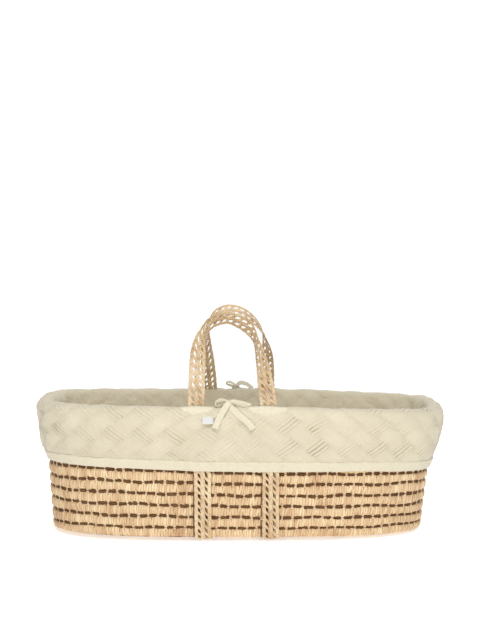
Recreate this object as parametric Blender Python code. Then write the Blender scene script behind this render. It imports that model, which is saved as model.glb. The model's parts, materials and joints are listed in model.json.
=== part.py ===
"""A palm-leaf carry basket for a baby: coiled oval walls and base, two straps that run under the
base and rise into a pair of leaning handles, a padded liner folded over the rim, two tied bows, and
a lift-out mattress. Metres, +Z up, +X along the basket, -Y to its front, origin at the centre of the
footprint on the surface that the basket stands on.
"""

import math

import bmesh
import bpy
from mathutils import Matrix, Vector

# Palm basket: half sizes of the outer face at its foot and at its top.
FOOT_HALF_LENGTH = 0.3850
FOOT_HALF_WIDTH = 0.1810
RIM_HALF_LENGTH = 0.4085
RIM_HALF_WIDTH = 0.2160
OVAL_POWER = 3.0
QUARTER_SEGMENTS = 10
COIL_THICKNESS = 0.009
COIL_GAP = 0.0004
ROW_PITCH = 0.0224
ROW_COUNT = 11
ROW_EDGE_INSET = 0.0025
BASE_ROW_WIDTH = 0.0220
BASE_ROW_COUNT = 7

# Straps and handles.
STRAP_WIDTH = 0.0325
STRAP_THICKNESS = 0.0040
STRAP_GAP = 0.0005
BEND_TOP = 0.0180
LEFT_STRAP_X = -0.0728
RIGHT_STRAP_X = 0.0588
STRAP_BEND = ((0.0021, 0.0100), (0.0006, 0.0038), (-0.0050, STRAP_THICKNESS / 2))
BASE_Z = STRAP_THICKNESS + STRAP_GAP + 0.0005
WALL_HEIGHT = ROW_PITCH * ROW_COUNT
WALL_TOP = BASE_Z + WALL_HEIGHT
FRONT_LEAN = math.radians(51)
REAR_LEAN = math.radians(49)
HINGE_Y = RIM_HALF_WIDTH + STRAP_GAP + STRAP_THICKNESS / 2
HINGE_Z = 0.2720
HINGE_CLEARANCE = 0.0042
HANDLE_STEPS = 3

# Liner.
PADDING = 0.0060
INNER_FACE = -COIL_THICKNESS - COIL_GAP
SKIRT_INSIDE = STRAP_GAP + STRAP_THICKNESS + 0.0013
SKIRT_OUTSIDE = SKIRT_INSIDE + PADDING
LINER_TOP = WALL_TOP + 0.0142
ROLL_BASE = WALL_TOP + COIL_GAP
HEM_BASE = 0.1360
HEM_HEIGHT = 0.0225
HEM_THICKNESS = 0.0035
SLOT_HALF_LENGTH = 0.1050
FLOOR_THICKNESS = 0.0016
FLOOR_BASE = BASE_Z + COIL_THICKNESS + 0.0006

# Mattress.
MATTRESS_HALF_LENGTH = 0.3620
MATTRESS_HALF_WIDTH = 0.1540
MATTRESS_THICKNESS = 0.0350
SHEET_THICKNESS = 0.0012
SHEET_GAP = 0.0003
SHEET_TURN_UNDER = 0.0250
MATTRESS_EDGE = 0.0060

# Bows and label.
TIE_WIDTH = 0.0100
TIE_THICKNESS = 0.0015
FRONT_BOW_X = -0.0225
REAR_BOW_X = -0.0090
BOW_Y = RIM_HALF_WIDTH + 0.0060
BOW_Z = LINER_TOP + 0.0070
SHORT_TIE = (0.0230, 0.0230, 0.0380)
LONG_TIE = (0.0395, 0.0470, 0.0415)
LOOP_HALF_DEPTH = 0.0042
TAIL_STAND_OFF = 0.0086
KNOT_PLACE = (0.0, -0.0090, 0.0010)
KNOT_SIZE = (0.0062, 0.0036, 0.0105)
LABEL_X = -0.0618
LABEL_Z = 0.2398
LABEL_SIZE = (0.0210, 0.0010, 0.0150)

# Handle centrelines: (x, height above the hinge line, twist in degrees). A handle is flat to the
# wall at its feet, and edge-on to its own plane at the shoulders and over the grip.
FRONT_HANDLE = [
    (-0.0837, 0.0000, 0),
    (-0.0850, 0.0470, 4),
    (-0.0852, 0.0890, 20),
    (-0.0817, 0.1155, 50),
    (-0.0747, 0.1357, 74),
    (-0.0660, 0.1503, 84),
    (-0.0480, 0.1612, 86),
    (-0.0245, 0.1655, 86),
    (0.0000, 0.1560, 76),
    (0.0195, 0.1430, 70),
    (0.0300, 0.1275, 80),
    (0.0343, 0.1115, 78),
    (0.0388, 0.0939, 66),
    (0.0462, 0.0577, 40),
    (0.0518, 0.0213, 10),
    (0.0541, 0.0000, 0),
]
REAR_HANDLE = [
    (-0.0710, 0.0000, 0),
    (-0.0735, 0.0470, 14),
    (-0.0760, 0.0925, 42),
    (-0.0765, 0.1309, 62),
    (-0.0705, 0.1517, 74),
    (-0.0590, 0.1682, 84),
    (-0.0420, 0.1785, 88),
    (-0.0192, 0.1822, 90),
    (0.0045, 0.1770, 88),
    (0.0250, 0.1648, 84),
    (0.0430, 0.1462, 80),
    (0.0548, 0.1248, 70),
    (0.0605, 0.0995, 50),
    (0.0625, 0.0711, 30),
    (0.0633, 0.0343, 8),
    (0.0651, 0.0000, 0),
]

# Colours: (red, green, blue), roughness.
FINISHES = {
    "palm_leaf": ((0.62, 0.43, 0.24), 0.75),
    "palm_braid": ((0.66, 0.50, 0.30), 0.70),
    "knit_fabric": ((0.80, 0.73, 0.58), 0.95),
    "binding_fabric": ((0.84, 0.77, 0.63), 0.90),
    "sheet_cotton": ((0.88, 0.85, 0.78), 0.90),
    "foam": ((0.86, 0.83, 0.70), 0.95),
    "elastic": ((0.90, 0.89, 0.86), 0.80),
    "label_tape": ((0.88, 0.88, 0.88), 0.70),
}


def clear_scene():
    for item in list(bpy.data.objects):
        bpy.data.objects.remove(item)


def finish_material(finish):
    """The named finish as a material, made once."""
    known = bpy.data.materials.get(finish)
    if known:
        return known
    colour, roughness = FINISHES[finish]
    made = bpy.data.materials.new(finish)
    made.use_nodes = True
    shader = made.node_tree.nodes["Principled BSDF"]
    shader.inputs["Base Color"].default_value = (*colour, 1.0)
    shader.inputs["Roughness"].default_value = roughness
    shader.inputs["Metallic"].default_value = 0.0
    made.diffuse_color = (*colour, 1.0)
    return made


def solid(name, points, faces, finish, origin=Vector()):
    """One closed mesh object, its normals facing out and its origin where it is asked for."""
    shape = bmesh.new()
    corners = [shape.verts.new(Vector(point) - origin) for point in points]
    for face in faces:
        shape.faces.new([corners[index] for index in face])
    bmesh.ops.recalc_face_normals(shape, faces=shape.faces)
    mesh = bpy.data.meshes.new(name)
    shape.to_mesh(mesh)
    shape.free()
    mesh.materials.append(finish_material(finish))
    mesh.shade_smooth()
    mesh.set_sharp_from_angle(angle=math.radians(35))
    made = bpy.data.objects.new(name, mesh)
    made.location = origin
    bpy.context.scene.collection.objects.link(made)
    return made


def oval_point(half_length, half_width, angle):
    """A point of the rounded-oblong outline that the basket has at every height."""
    along, over = math.cos(angle), math.sin(angle)
    power = 2 / OVAL_POWER
    return (
        half_length * math.copysign(abs(along) ** power, along),
        half_width * math.copysign(abs(over) ** power, over),
    )


def even_angles(samples=2000):
    """Angles that space an oval's corners evenly along the rim, the same in each quarter."""
    angles = [math.pi / 2 * i / samples for i in range(samples + 1)]
    points = [Vector(oval_point(RIM_HALF_LENGTH, RIM_HALF_WIDTH, a)) for a in angles]
    walked = [0.0]
    for before, after in zip(points, points[1:]):
        walked.append(walked[-1] + (after - before).length)
    quarter = []
    for step in range(QUARTER_SEGMENTS):
        target = walked[-1] * step / QUARTER_SEGMENTS
        quarter.append(next(a for a, w in zip(angles, walked) if w >= target))
    quarter.append(math.pi / 2)
    half = quarter[:-1] + [math.pi - a for a in reversed(quarter[1:])]
    return half + [math.pi + a for a in half]


RING_ANGLES = even_angles()


def wall_half_sizes(height):
    """Half length and half width of the palm wall's outer face at a height."""
    share = (height - BASE_Z) / WALL_HEIGHT
    return (
        FOOT_HALF_LENGTH + (RIM_HALF_LENGTH - FOOT_HALF_LENGTH) * share,
        FOOT_HALF_WIDTH + (RIM_HALF_WIDTH - FOOT_HALF_WIDTH) * share,
    )


def wall_loop(offset, height, angles=None):
    """Points round the basket, a distance outside the palm wall's outer face."""
    half_length, half_width = wall_half_sizes(height)
    return [
        (*oval_point(half_length + offset, half_width + offset, angle), height)
        for angle in angles or RING_ANGLES
    ]


def bridge(loops, closed_section, closed_round=True):
    """Points and quads that join equal loops, with flat caps where the section or ring is open."""
    count = len(loops[0])
    points = [point for loop in loops for point in loop]
    spans = len(loops) if closed_section else len(loops) - 1
    steps = count if closed_round else count - 1
    faces = []
    for row in range(spans):
        upper = (row + 1) % len(loops)
        for step in range(steps):
            after = (step + 1) % count
            faces.append(
                (row * count + step, row * count + after, upper * count + after, upper * count + step)
            )
    if not closed_section:
        faces.append(tuple(range(count)))
        faces.append(tuple(range((len(loops) - 1) * count, len(loops) * count)))
    if not closed_round:
        faces.append(tuple(row * count for row in range(len(loops))))
        faces.append(tuple(row * count + count - 1 for row in range(len(loops))))
    return points, faces


def ring(name, profile, finish):
    """A closed band round the basket from a section of (offset outside the wall, height) points."""
    loops = [wall_loop(offset, height) for offset, height in profile]
    return solid(name, *bridge(loops, closed_section=True), finish)


def levels(low, high, spans=5):
    """Heights from low to high, close enough that a tall leaning face stays true between them."""
    return [low + (high - low) * step / spans for step in range(spans + 1)]


def capped(name, profile, finish):
    """A body from (offset, height) loops, with its first and last loops filled flat."""
    loops = [wall_loop(offset, height) for offset, height in profile]
    return solid(name, *bridge(loops, closed_section=False), finish)


def ribbon(name, stations, width, thickness, finish, origin=Vector()):
    """A flat strap through stations of (centre, unit direction of its width)."""
    centres = [Vector(centre) for centre, _ in stations]
    loops = []
    for index, (_, across) in enumerate(stations):
        before = centres[max(index - 1, 0)]
        after = centres[min(index + 1, len(centres) - 1)]
        face = (after - before).cross(across).normalized()
        side, lift = across.normalized() * width / 2, face * thickness / 2
        near, far = centres[index] - side, centres[index] + side
        loops.append([near - lift, far - lift, far + lift, near + lift])
    return solid(name, *bridge(loops, closed_section=False), finish, origin)


def smooth(controls, steps):
    """A Catmull-Rom curve through control points of any number of values."""
    padded = [controls[0], *controls, controls[-1]]
    made = []
    for p0, p1, p2, p3 in zip(padded, padded[1:], padded[2:], padded[3:]):
        for step in range(steps):
            t = step / steps
            made.append(
                tuple(
                    0.5 * (2 * b + (c - a) * t + (2 * a - 5 * b + 4 * c - d) * t * t
                           + (3 * b - a - 3 * c + d) * t**3)
                    for a, b, c, d in zip(p0, p1, p2, p3)
                )
            )
    return made + [tuple(controls[-1])]


def wall_rows():
    """The coiled side wall, one lens-shaped ring for each turn of the coil."""
    for row in range(ROW_COUNT):
        low = BASE_Z + row * ROW_PITCH
        high = low + ROW_PITCH - COIL_GAP
        middle = (low + high) / 2
        inner_edge = ROW_EDGE_INSET - COIL_THICKNESS
        profile = [
            (-ROW_EDGE_INSET, low),
            (0.0, middle),
            (-ROW_EDGE_INSET, high),
            (inner_edge, high),
            (-COIL_THICKNESS, middle),
            (inner_edge, low),
        ]
        ring(f"wall_row_{row + 1:02d}", profile, "palm_leaf")


def base_rows():
    """The coiled base: rings from the wall inwards, and the long flat core of the coil."""
    top = BASE_Z + COIL_THICKNESS
    edge = INNER_FACE - COIL_GAP
    for row in range(BASE_ROW_COUNT):
        outside = edge - row * BASE_ROW_WIDTH
        inside = outside - BASE_ROW_WIDTH + COIL_GAP
        profile = [(outside, BASE_Z), (outside, top), (inside, top), (inside, BASE_Z)]
        ring(f"base_row_{row + 1}", profile, "palm_leaf")
    core = edge - BASE_ROW_COUNT * BASE_ROW_WIDTH
    capped("base_core", [(core, BASE_Z), (core, top)], "palm_leaf")


def strap_side(x_top, x_hem, side):
    """Centre points of one side of a strap, from its top end down to the edge of the base."""
    reach = STRAP_GAP + STRAP_THICKNESS / 2
    top = HINGE_Z - HINGE_CLEARANCE
    wall_run = [(x_top, top), (x_top, WALL_TOP), (x_hem, HEM_BASE), (x_hem, BEND_TOP)]
    points = [Vector((x, side * (wall_half_sizes(height)[1] + reach), height)) for x, height in wall_run]
    corner = wall_half_sizes(BASE_Z)[1]
    points += [Vector((x_hem, side * (corner + out), height)) for out, height in STRAP_BEND]
    return points


def straps():
    """Two straps that carry the basket: down the front, flat under the base, and up the rear."""
    for name, x, foot in (("strap_left", LEFT_STRAP_X, 0), ("strap_right", RIGHT_STRAP_X, -1)):
        front = strap_side(FRONT_HANDLE[foot][0], x, -1)
        rear = strap_side(REAR_HANDLE[foot][0], x, 1)
        centres = front + list(reversed(rear))
        across = Vector((1, 0, 0))
        stations = [(centre, across) for centre in centres]
        ribbon(name, stations, STRAP_WIDTH, STRAP_THICKNESS, "palm_braid")


def handle(name, controls, side, lean):
    """One carrying handle: a flat arch that leans inwards from its hinge line at the rim."""
    hinge = Vector((0, side * HINGE_Y, HINGE_Z))
    up_plane = Vector((0, -side * math.sin(lean), math.cos(lean)))
    plane_normal = Vector((1, 0, 0)).cross(up_plane)
    curve = smooth(controls, HANDLE_STEPS)
    centres = [hinge + Vector((x, 0, 0)) + up_plane * height / math.cos(lean) for x, height, _ in curve]
    stations = []
    for index, (centre, (_, _, twist)) in enumerate(zip(centres, curve)):
        before = centres[max(index - 1, 0)]
        after = centres[min(index + 1, len(centres) - 1)]
        along = (after - before).normalized()
        if index in (0, len(centres) - 1):
            along = math.copysign(1, 0.5 - index) * up_plane
        across = plane_normal.cross(along)
        stations.append((centre, Matrix.Rotation(math.radians(twist), 3, along) @ across))
    ribbon(name, stations, STRAP_WIDTH, STRAP_THICKNESS, "palm_braid", origin=hinge)


def box(name, centre, size, finish, bevel=0.0):
    """An upright box, its edges rounded by a Bevel modifier where bevel is given."""
    shape = bmesh.new()
    bmesh.ops.create_cube(shape, size=1.0)
    bmesh.ops.scale(shape, vec=size, verts=shape.verts)
    mesh = bpy.data.meshes.new(name)
    shape.to_mesh(mesh)
    shape.free()
    mesh.materials.append(finish_material(finish))
    made = bpy.data.objects.new(name, mesh)
    made.location = centre
    bpy.context.scene.collection.objects.link(made)
    if bevel:
        rounding = made.modifiers.new("Bevel", "BEVEL")
        rounding.width = bevel
        rounding.segments = 2
    return made


def helper(made):
    """Marks an object as a tool for a Boolean, which is not part of the basket."""
    made.hide_render = True
    made.display_type = "WIRE"
    return made


def boolean(made, tool, operation):
    change = made.modifiers.new(operation.title(), "BOOLEAN")
    change.operation = operation
    change.object = helper(tool)
    change.solver = "EXACT"


def liner():
    """The padded liner: inner wall, floor, the roll over the rim, the outer skirt and its hem."""
    inside = INNER_FACE - PADDING
    low = FLOOR_BASE + FLOOR_THICKNESS + 0.0004
    high = WALL_TOP - COIL_GAP
    heights = levels(low, high)
    profile = [(INNER_FACE, height) for height in heights]
    profile += [(inside, height) for height in reversed(heights)]
    ring("liner_wall", profile, "knit_fabric")

    floor_edge = INNER_FACE - COIL_GAP
    floor_top = FLOOR_BASE + FLOOR_THICKNESS
    capped("liner_floor", [(floor_edge, FLOOR_BASE), (floor_edge, floor_top)], "sheet_cotton")

    shoulder = LINER_TOP - 0.005
    roll = ring(
        "liner_rim_roll",
        [
            (inside, ROLL_BASE),
            (inside, shoulder),
            (inside + 0.006, LINER_TOP),
            (SKIRT_OUTSIDE - 0.006, LINER_TOP),
            (SKIRT_OUTSIDE, shoulder),
            (SKIRT_OUTSIDE, ROLL_BASE),
        ],
        "knit_fabric",
    )
    for name, side in (("slot_cutter_front", -1), ("slot_cutter_rear", 1)):
        inner = RIM_HALF_WIDTH - 0.0005
        outer = RIM_HALF_WIDTH + 0.0300
        size = (2 * SLOT_HALF_LENGTH, outer - inner, 0.050)
        cutter = box(name, (0, side * (inner + outer) / 2, LINER_TOP), size, "knit_fabric")
        boolean(roll, cutter, "DIFFERENCE")

    hem_top = HEM_BASE + HEM_HEIGHT
    heights = levels(hem_top + COIL_GAP, ROLL_BASE - COIL_GAP, spans=3)
    profile = [(SKIRT_INSIDE, height) for height in heights]
    profile += [(SKIRT_OUTSIDE, height) for height in reversed(heights)]
    ring("liner_skirt", profile, "knit_fabric")
    hem_outside = SKIRT_INSIDE + HEM_THICKNESS
    ring(
        "liner_hem",
        [
            (SKIRT_INSIDE, HEM_BASE),
            (hem_outside, HEM_BASE),
            (hem_outside, hem_top),
            (SKIRT_INSIDE, hem_top),
        ],
        "binding_fabric",
    )


def slot_bindings():
    """The bound outer lip of the slot that each handle comes up through."""
    half_length = wall_half_sizes(LINER_TOP)[0] + SKIRT_OUTSIDE
    end = SLOT_HALF_LENGTH - 0.0006
    steps = 10
    shoulder = LINER_TOP - 0.004
    profile = [
        (SKIRT_INSIDE, ROLL_BASE),
        (SKIRT_OUTSIDE, ROLL_BASE),
        (SKIRT_OUTSIDE, shoulder),
        (SKIRT_OUTSIDE - 0.003, LINER_TOP),
        (SKIRT_INSIDE, LINER_TOP),
    ]
    for name, side in (("slot_binding_front", -1), ("slot_binding_rear", 1)):
        angles = []
        for step in range(steps + 1):
            x = end - 2 * end * step / steps
            along = math.copysign(abs(x / half_length) ** (OVAL_POWER / 2), x)
            angles.append(side * math.acos(along))
        loops = [wall_loop(offset, height, angles) for offset, height in profile]
        points, faces = bridge(loops, closed_section=True, closed_round=False)
        solid(name, points, faces, "binding_fabric")


def tie(name, side, hand, loop_reach, tail_reach, tail_drop):
    """One ribbon of a bow: a flat loop beside the knot, and a tail that hangs over the skirt.
    hand is -1 for the ribbon on the left as the bow is looked at from outside, and 1 for the other."""
    outwards = Vector((0, -1, 0))
    root = hand * 0.0005
    inner = root + hand * 0.0060
    belly = hand * loop_reach * 0.7
    loop_path = [
        (root, LOOP_HALF_DEPTH * 0.5, 0),
        (inner, LOOP_HALF_DEPTH, 0.0005),
        (belly, LOOP_HALF_DEPTH, 0.0006),
        (hand * loop_reach, 0, 0),
        (belly, -LOOP_HALF_DEPTH, -0.0006),
        (inner, -LOOP_HALF_DEPTH * 0.6, -0.0005),
    ]
    upright = Vector((0, 0, 1))
    loop = ribbon(
        name,
        [(Vector(point), upright) for point in loop_path],
        TIE_WIDTH,
        TIE_THICKNESS,
        "binding_fabric",
    )
    tail_points = [
        Vector((root + hand * 0.0040, 0, 0.0005)) + outwards * LOOP_HALF_DEPTH * 0.6,
        Vector((hand * (0.008 + tail_reach * 0.12), 0, -0.0050)) + outwards * TAIL_STAND_OFF,
        Vector((hand * tail_reach * 0.6, 0, -tail_drop * 0.55)) + outwards * TAIL_STAND_OFF,
        Vector((hand * tail_reach, 0, -tail_drop)) + outwards * TAIL_STAND_OFF,
    ]
    down = (tail_points[-1] - tail_points[1]).normalized()
    across = down.cross(outwards).normalized()
    tail = ribbon(
        name + "_tail",
        [(point, across) for point in tail_points],
        TIE_WIDTH,
        TIE_THICKNESS,
        "binding_fabric",
    )
    boolean(loop, tail, "UNION")
    seat = empty_at_bow(side)
    loop.parent = seat
    tail.parent = seat


def empty_at_bow(side):
    """The frame that a bow is built in: its centre on the rim, its -Y away from the basket."""
    name = "bow_seat_front" if side < 0 else "bow_seat_rear"
    known = bpy.data.objects.get(name)
    if known:
        return known
    seat = bpy.data.objects.new(name, None)
    seat.location = (FRONT_BOW_X if side < 0 else REAR_BOW_X, side * BOW_Y, BOW_Z)
    seat.rotation_euler = (0, 0, 0 if side < 0 else math.pi)
    bpy.context.scene.collection.objects.link(seat)
    return seat


def bows():
    """A bow over each slot: two ribbons, and the knot in front of where they meet."""
    for end, side, left, right in (("front", -1, SHORT_TIE, LONG_TIE), ("rear", 1, LONG_TIE, SHORT_TIE)):
        tie(f"tie_left_{end}", side, -1, *left)
        tie(f"tie_right_{end}", side, 1, *right)
        knot = box(f"tie_knot_{end}", KNOT_PLACE, KNOT_SIZE, "binding_fabric", bevel=0.001)
        knot.parent = empty_at_bow(side)


def label():
    """A blank woven label that stands out from the front slot's lip."""
    face = wall_half_sizes(LABEL_Z)[1] + SKIRT_OUTSIDE + 0.0016
    box("label", (LABEL_X, -face, LABEL_Z), LABEL_SIZE, "label_tape")


def mattress():
    """The lift-out mattress: foam core, fitted sheet with its turned-under edge, and the elastic."""
    bottom = FLOOR_BASE + FLOOR_THICKNESS + 0.0004
    foot_width = wall_half_sizes(bottom)[1]
    side = MATTRESS_HALF_WIDTH - foot_width
    core_low = bottom + SHEET_THICKNESS + SHEET_GAP
    core_high = core_low + MATTRESS_THICKNESS
    sheet_side = side + SHEET_GAP
    sheet_out = sheet_side + SHEET_THICKNESS
    sheet_high = core_high + SHEET_GAP
    top = sheet_high + SHEET_THICKNESS
    turned = side - SHEET_TURN_UNDER

    upright_capped(
        "mattress_core",
        [
            (side - MATTRESS_EDGE, core_low),
            (side, core_low + MATTRESS_EDGE),
            (side, core_high - MATTRESS_EDGE),
            (side - MATTRESS_EDGE, core_high),
        ],
        "foam",
    )
    upright_capped(
        "fitted_sheet",
        [
            (sheet_side - MATTRESS_EDGE, sheet_high),
            (sheet_side, sheet_high - MATTRESS_EDGE),
            (sheet_side, core_low + MATTRESS_EDGE - SHEET_GAP),
            (sheet_side - MATTRESS_EDGE, core_low - SHEET_GAP),
            (turned, core_low - SHEET_GAP),
            (turned, bottom),
            (sheet_out - MATTRESS_EDGE, bottom),
            (sheet_out, core_low + MATTRESS_EDGE - SHEET_THICKNESS),
            (sheet_out, top - MATTRESS_EDGE),
            (sheet_out - MATTRESS_EDGE, top),
        ],
        "sheet_cotton",
    )
    inner = turned - 0.0004
    upright_ring(
        "sheet_elastic",
        [
            (inner, bottom),
            (inner, core_low - SHEET_GAP),
            (inner - 0.003, core_low - SHEET_GAP),
            (inner - 0.003, bottom),
        ],
        "elastic",
    )


def upright_loop(offset, height):
    """Points round the mattress: an offset from the palm wall at floor level, at any height."""
    at_floor = FLOOR_BASE + FLOOR_THICKNESS + 0.0004
    foot_length, foot_width = wall_half_sizes(at_floor)
    length = foot_length + offset + (MATTRESS_HALF_LENGTH - foot_length) - (MATTRESS_HALF_WIDTH - foot_width)
    return [(*oval_point(length, foot_width + offset, angle), height) for angle in RING_ANGLES]


def upright_capped(name, profile, finish):
    loops = [upright_loop(offset, height) for offset, height in profile]
    return solid(name, *bridge(loops, closed_section=False), finish)


def upright_ring(name, profile, finish):
    loops = [upright_loop(offset, height) for offset, height in profile]
    return solid(name, *bridge(loops, closed_section=True), finish)


def main():
    clear_scene()
    wall_rows()
    base_rows()
    straps()
    handle("handle_front", FRONT_HANDLE, -1, FRONT_LEAN)
    handle("handle_rear", REAR_HANDLE, 1, REAR_LEAN)
    liner()
    slot_bindings()
    bows()
    label()
    mattress()


main()
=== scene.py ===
"""The looks of a palm-leaf carry basket for a baby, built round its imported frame.

Wrapped palm coils for the wall and base, plaited straps that turn into the handles, a padded knit
liner, ribbon bows, and a mattress in its fitted sheet. Metres, in the frame of the CAD model: +X
along the basket, -Y to its front, +Z up.
"""
import json
import math

import bpy
import numpy as np
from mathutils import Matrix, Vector

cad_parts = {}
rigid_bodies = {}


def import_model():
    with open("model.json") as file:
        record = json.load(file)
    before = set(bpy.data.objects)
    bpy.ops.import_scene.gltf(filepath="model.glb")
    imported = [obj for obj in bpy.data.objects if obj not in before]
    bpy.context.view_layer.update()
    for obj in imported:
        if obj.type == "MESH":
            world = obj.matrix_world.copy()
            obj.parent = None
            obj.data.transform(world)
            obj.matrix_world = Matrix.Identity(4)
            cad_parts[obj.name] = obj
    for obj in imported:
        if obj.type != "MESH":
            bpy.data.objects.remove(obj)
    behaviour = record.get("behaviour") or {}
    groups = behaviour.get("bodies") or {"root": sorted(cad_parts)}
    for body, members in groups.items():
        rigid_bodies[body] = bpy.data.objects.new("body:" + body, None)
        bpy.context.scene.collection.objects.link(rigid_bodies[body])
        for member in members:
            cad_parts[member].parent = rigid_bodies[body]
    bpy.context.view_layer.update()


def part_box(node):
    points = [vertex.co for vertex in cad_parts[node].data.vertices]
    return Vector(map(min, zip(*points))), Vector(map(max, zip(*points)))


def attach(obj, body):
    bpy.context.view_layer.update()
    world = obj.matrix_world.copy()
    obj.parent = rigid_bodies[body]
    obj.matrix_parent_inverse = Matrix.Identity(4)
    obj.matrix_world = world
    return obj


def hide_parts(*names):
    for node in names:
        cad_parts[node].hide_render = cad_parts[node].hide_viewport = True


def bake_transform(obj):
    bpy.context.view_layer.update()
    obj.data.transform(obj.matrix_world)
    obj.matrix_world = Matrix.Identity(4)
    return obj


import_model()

SCENE = bpy.context.scene
TURN = 2 * math.pi

# The outline: a superellipse, whose half sizes grow evenly from the first coil to the last.
OVAL_POWER = 3.0
ROW_COUNT = 11
ROW_PITCH = 0.0224
LOW_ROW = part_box("wall_row_01")
HIGH_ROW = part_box("wall_row_11")
LOW_MIDDLE = (LOW_ROW[0].z + LOW_ROW[1].z) / 2
HIGH_MIDDLE = (HIGH_ROW[0].z + HIGH_ROW[1].z) / 2
WALL_TOP = HIGH_ROW[1].z
BASE_Z = LOW_ROW[0].z
RIM_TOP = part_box("liner_rim_roll")[1].z
HEM_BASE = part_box("liner_hem")[0].z
HEM_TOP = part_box("liner_hem")[1].z

# How the soft basket sags from its ideal shape: along its length (x, drop), and up its height.
PALM_SAG = (
    (-0.40, -0.0050), (-0.27, -0.0045), (-0.10, -0.0008), (0.0, 0.0036), (0.12, 0.0054),
    (0.20, 0.0062), (0.30, 0.0095), (0.40, 0.0140),
)
PALM_SAG_SHARE = (
    (0.018, 0.15), (0.050, 0.45), (0.095, 0.72), (0.117, 0.75), (0.139, 1.0), (0.165, 1.0),
    (0.250, 0.0),
)
END_DROP = ((0.0, 0.0014), (0.02, 0.0042), (0.06, 0.0042), (0.12, 0.0012), (0.14, 0.0))
HEM_SAG = (
    (-0.42, -0.0140), (-0.30, -0.0108), (-0.20, -0.0092), (-0.10, -0.0060), (0.0, -0.0032),
    (0.12, -0.0026), (0.25, -0.0008), (0.35, 0.0050), (0.42, 0.0095),
)
RIM_SAG = (
    (-0.42, -0.0030), (-0.36, -0.0024), (-0.33, -0.0016), (-0.20, -0.0012), (0.05, -0.0010),
    (0.116, 0.0010), (0.246, 0.0070), (0.36, 0.0108), (0.42, 0.0110),
)
REAR_RAISE = (
    (-0.42, 0.0085), (-0.38, 0.0056), (-0.33, 0.0056), (-0.26, 0.0034), (-0.10, 0.0024),
    (0.10, 0.0028), (0.24, 0.0050), (0.34, 0.0062), (0.42, 0.0080),
)
FOOT_ROUNDING = 0.0030      # how far the outermost turn of the base curls up off the ground
FOOT_CURL = 0.0022          # how far the lowest coil of the wall rolls up with it
FOOT_CURL_HEIGHT = 0.018
# How far the basket leans to the left below its rim, by height. The padded inside leans less.
LEAN = ((0.0, -0.0072), (0.02, -0.0070), (0.09, -0.0056), (0.16, -0.0034), (0.262, 0.0))
INNER_LEAN = -0.0030
END_SWELL = 0.0040          # how far the skirt fills out at the basket's ends

# Palm coils. A wrap of leaf has points at these places across it, crowned in its middle.
COIL_HALF_HEIGHT = 0.0081
COIL_HALF_DEPTH = 0.0043
COIL_CENTRE = -0.0045
LEAF_WIDTH = 0.0050
ACROSS_WRAP = np.array([0.02, 0.16, 0.50, 0.84, 0.98])
WRAP_CROWN = np.array([0.0, 0.75, 1.0, 0.75, 0.0])
WRAPS_PER_STITCH = 4
STITCH_WIDTH = 0.0058
STITCH_THICKNESS = 0.0015
STITCH_OVERLAP = 0.0022     # how far a stitch reaches on to the coil at either end
STITCH_SECTION = np.array([
    (-1, -0.3), (-0.7, 0.5), (0.7, 0.5), (1, -0.3), (0.6, -0.6), (-0.6, -0.6),
])
SHOWN_ROWS = 8
BASE_PITCH = 0.0220
BASE_GAP = 0.0042
STALK_HALF_HEIGHT = 0.0052
WALL_STALK_DEPTH = -0.0050
BASE_STALK_OUTSIDE = -0.0098

# Straps.
STRAP_WIDTH = 0.0325
EDGE_CORD_WIDTH = 0.0070
MIDDLE_STRAND_WIDTH = 0.0066
MIDDLE_SWING = 0.0016
RUNG_SHARE = 0.34           # a rung's width, as a share of the pitch
RUNG_SLANT = 1.8            # how many pitches a rung climbs as it crosses the strap
WALL_PITCH = 0.0140
LEG_PITCH = 0.0222          # the plait is pulled longer in the handles' legs
STRAND_THICKNESS = 0.0020
STRAND_SECTION = np.array([
    (-1, 0.0), (-0.82, 0.75), (-0.5, 0.95), (-0.34, 0.6), (0.0, 1.0), (0.34, 0.6), (0.5, 0.95),
    (0.82, 0.75), (1, 0.0), (0.6, -0.8), (-0.6, -0.8),
])
# How dark each point round a strand's section is painted: painted shade at its edges and in the two dips
# on its face, none on its crown or underside.
STRAND_CREASE_SHADE = np.array([0.3, 0.8, 1.0, 0.3, 1.0, 0.3, 1.0, 0.8, 0.3, 0.9, 0.9])
STRAP_STAND_OFF = 0.0027
STRAP_STEP = 0.0022
LEFT_STRAP_X = -0.0728
RIGHT_STRAP_X = 0.0588
STRAP_SHADE_HALF_WIDTH = 0.0135    # half the width of palm behind a strap that is painted in the strap's shade

# Liner: the knit's repeat and depth, and the slots that the handles come up through, as
# (side, lowest x, highest x) round a centre line that is an offset from the palm wall.
KNIT_WIDTH = 0.0600
KNIT_HEIGHT = 0.0460
RELIEF_DEPTH = 0.0023
RIBS = 5                    # knitted ribs to each band's width in the plait
FAINT_RIBS = 0.25           # how strong the ribs are on the bands that run the other way
INNER_RIBS = 0.35           # and inside the basket
SLOTS = ((-1, -0.1137, -0.0511), (-1, 0.0116, 0.0913), (1, -0.1040, -0.0380), (1, 0.0320, 0.0990))
SLOT_CENTRE = 0.0027
SLOT_HALF_OPENING = 0.0036
STRAP_BULGE = 0.0036        # how far a strap pushes the skirt and hem out
SLOT_LIP_DROP = 0.0030
FINE_ABOVE = 0.2525         # the rim's curve is followed more closely above this height
PUFF_FRAMES = 18
PUFF_COLUMNS = 320
PUFF_SPACING = 0.0062
HELD_REACH = 0.16           # how much of each pattern repeat the quilting holds down

# Mattress.
SHEET_THICKNESS = 0.0007
PAD_EDGE = 0.013            # the radius of the pad's rounded edge
GATHERED_WITHIN = 0.025     # how far in from the pad's edge the sheet reaches under it

# Bows.
TIE_WIDTH = 0.0122
TIE_THICKNESS = 0.0008
LABEL_THICKNESS = 0.0005
FRONT_BOW_X = -0.0225
REAR_BOW_X = -0.0090
BOW_Y = 0.2220
BOW_Z = RIM_TOP + 0.0070
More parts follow.
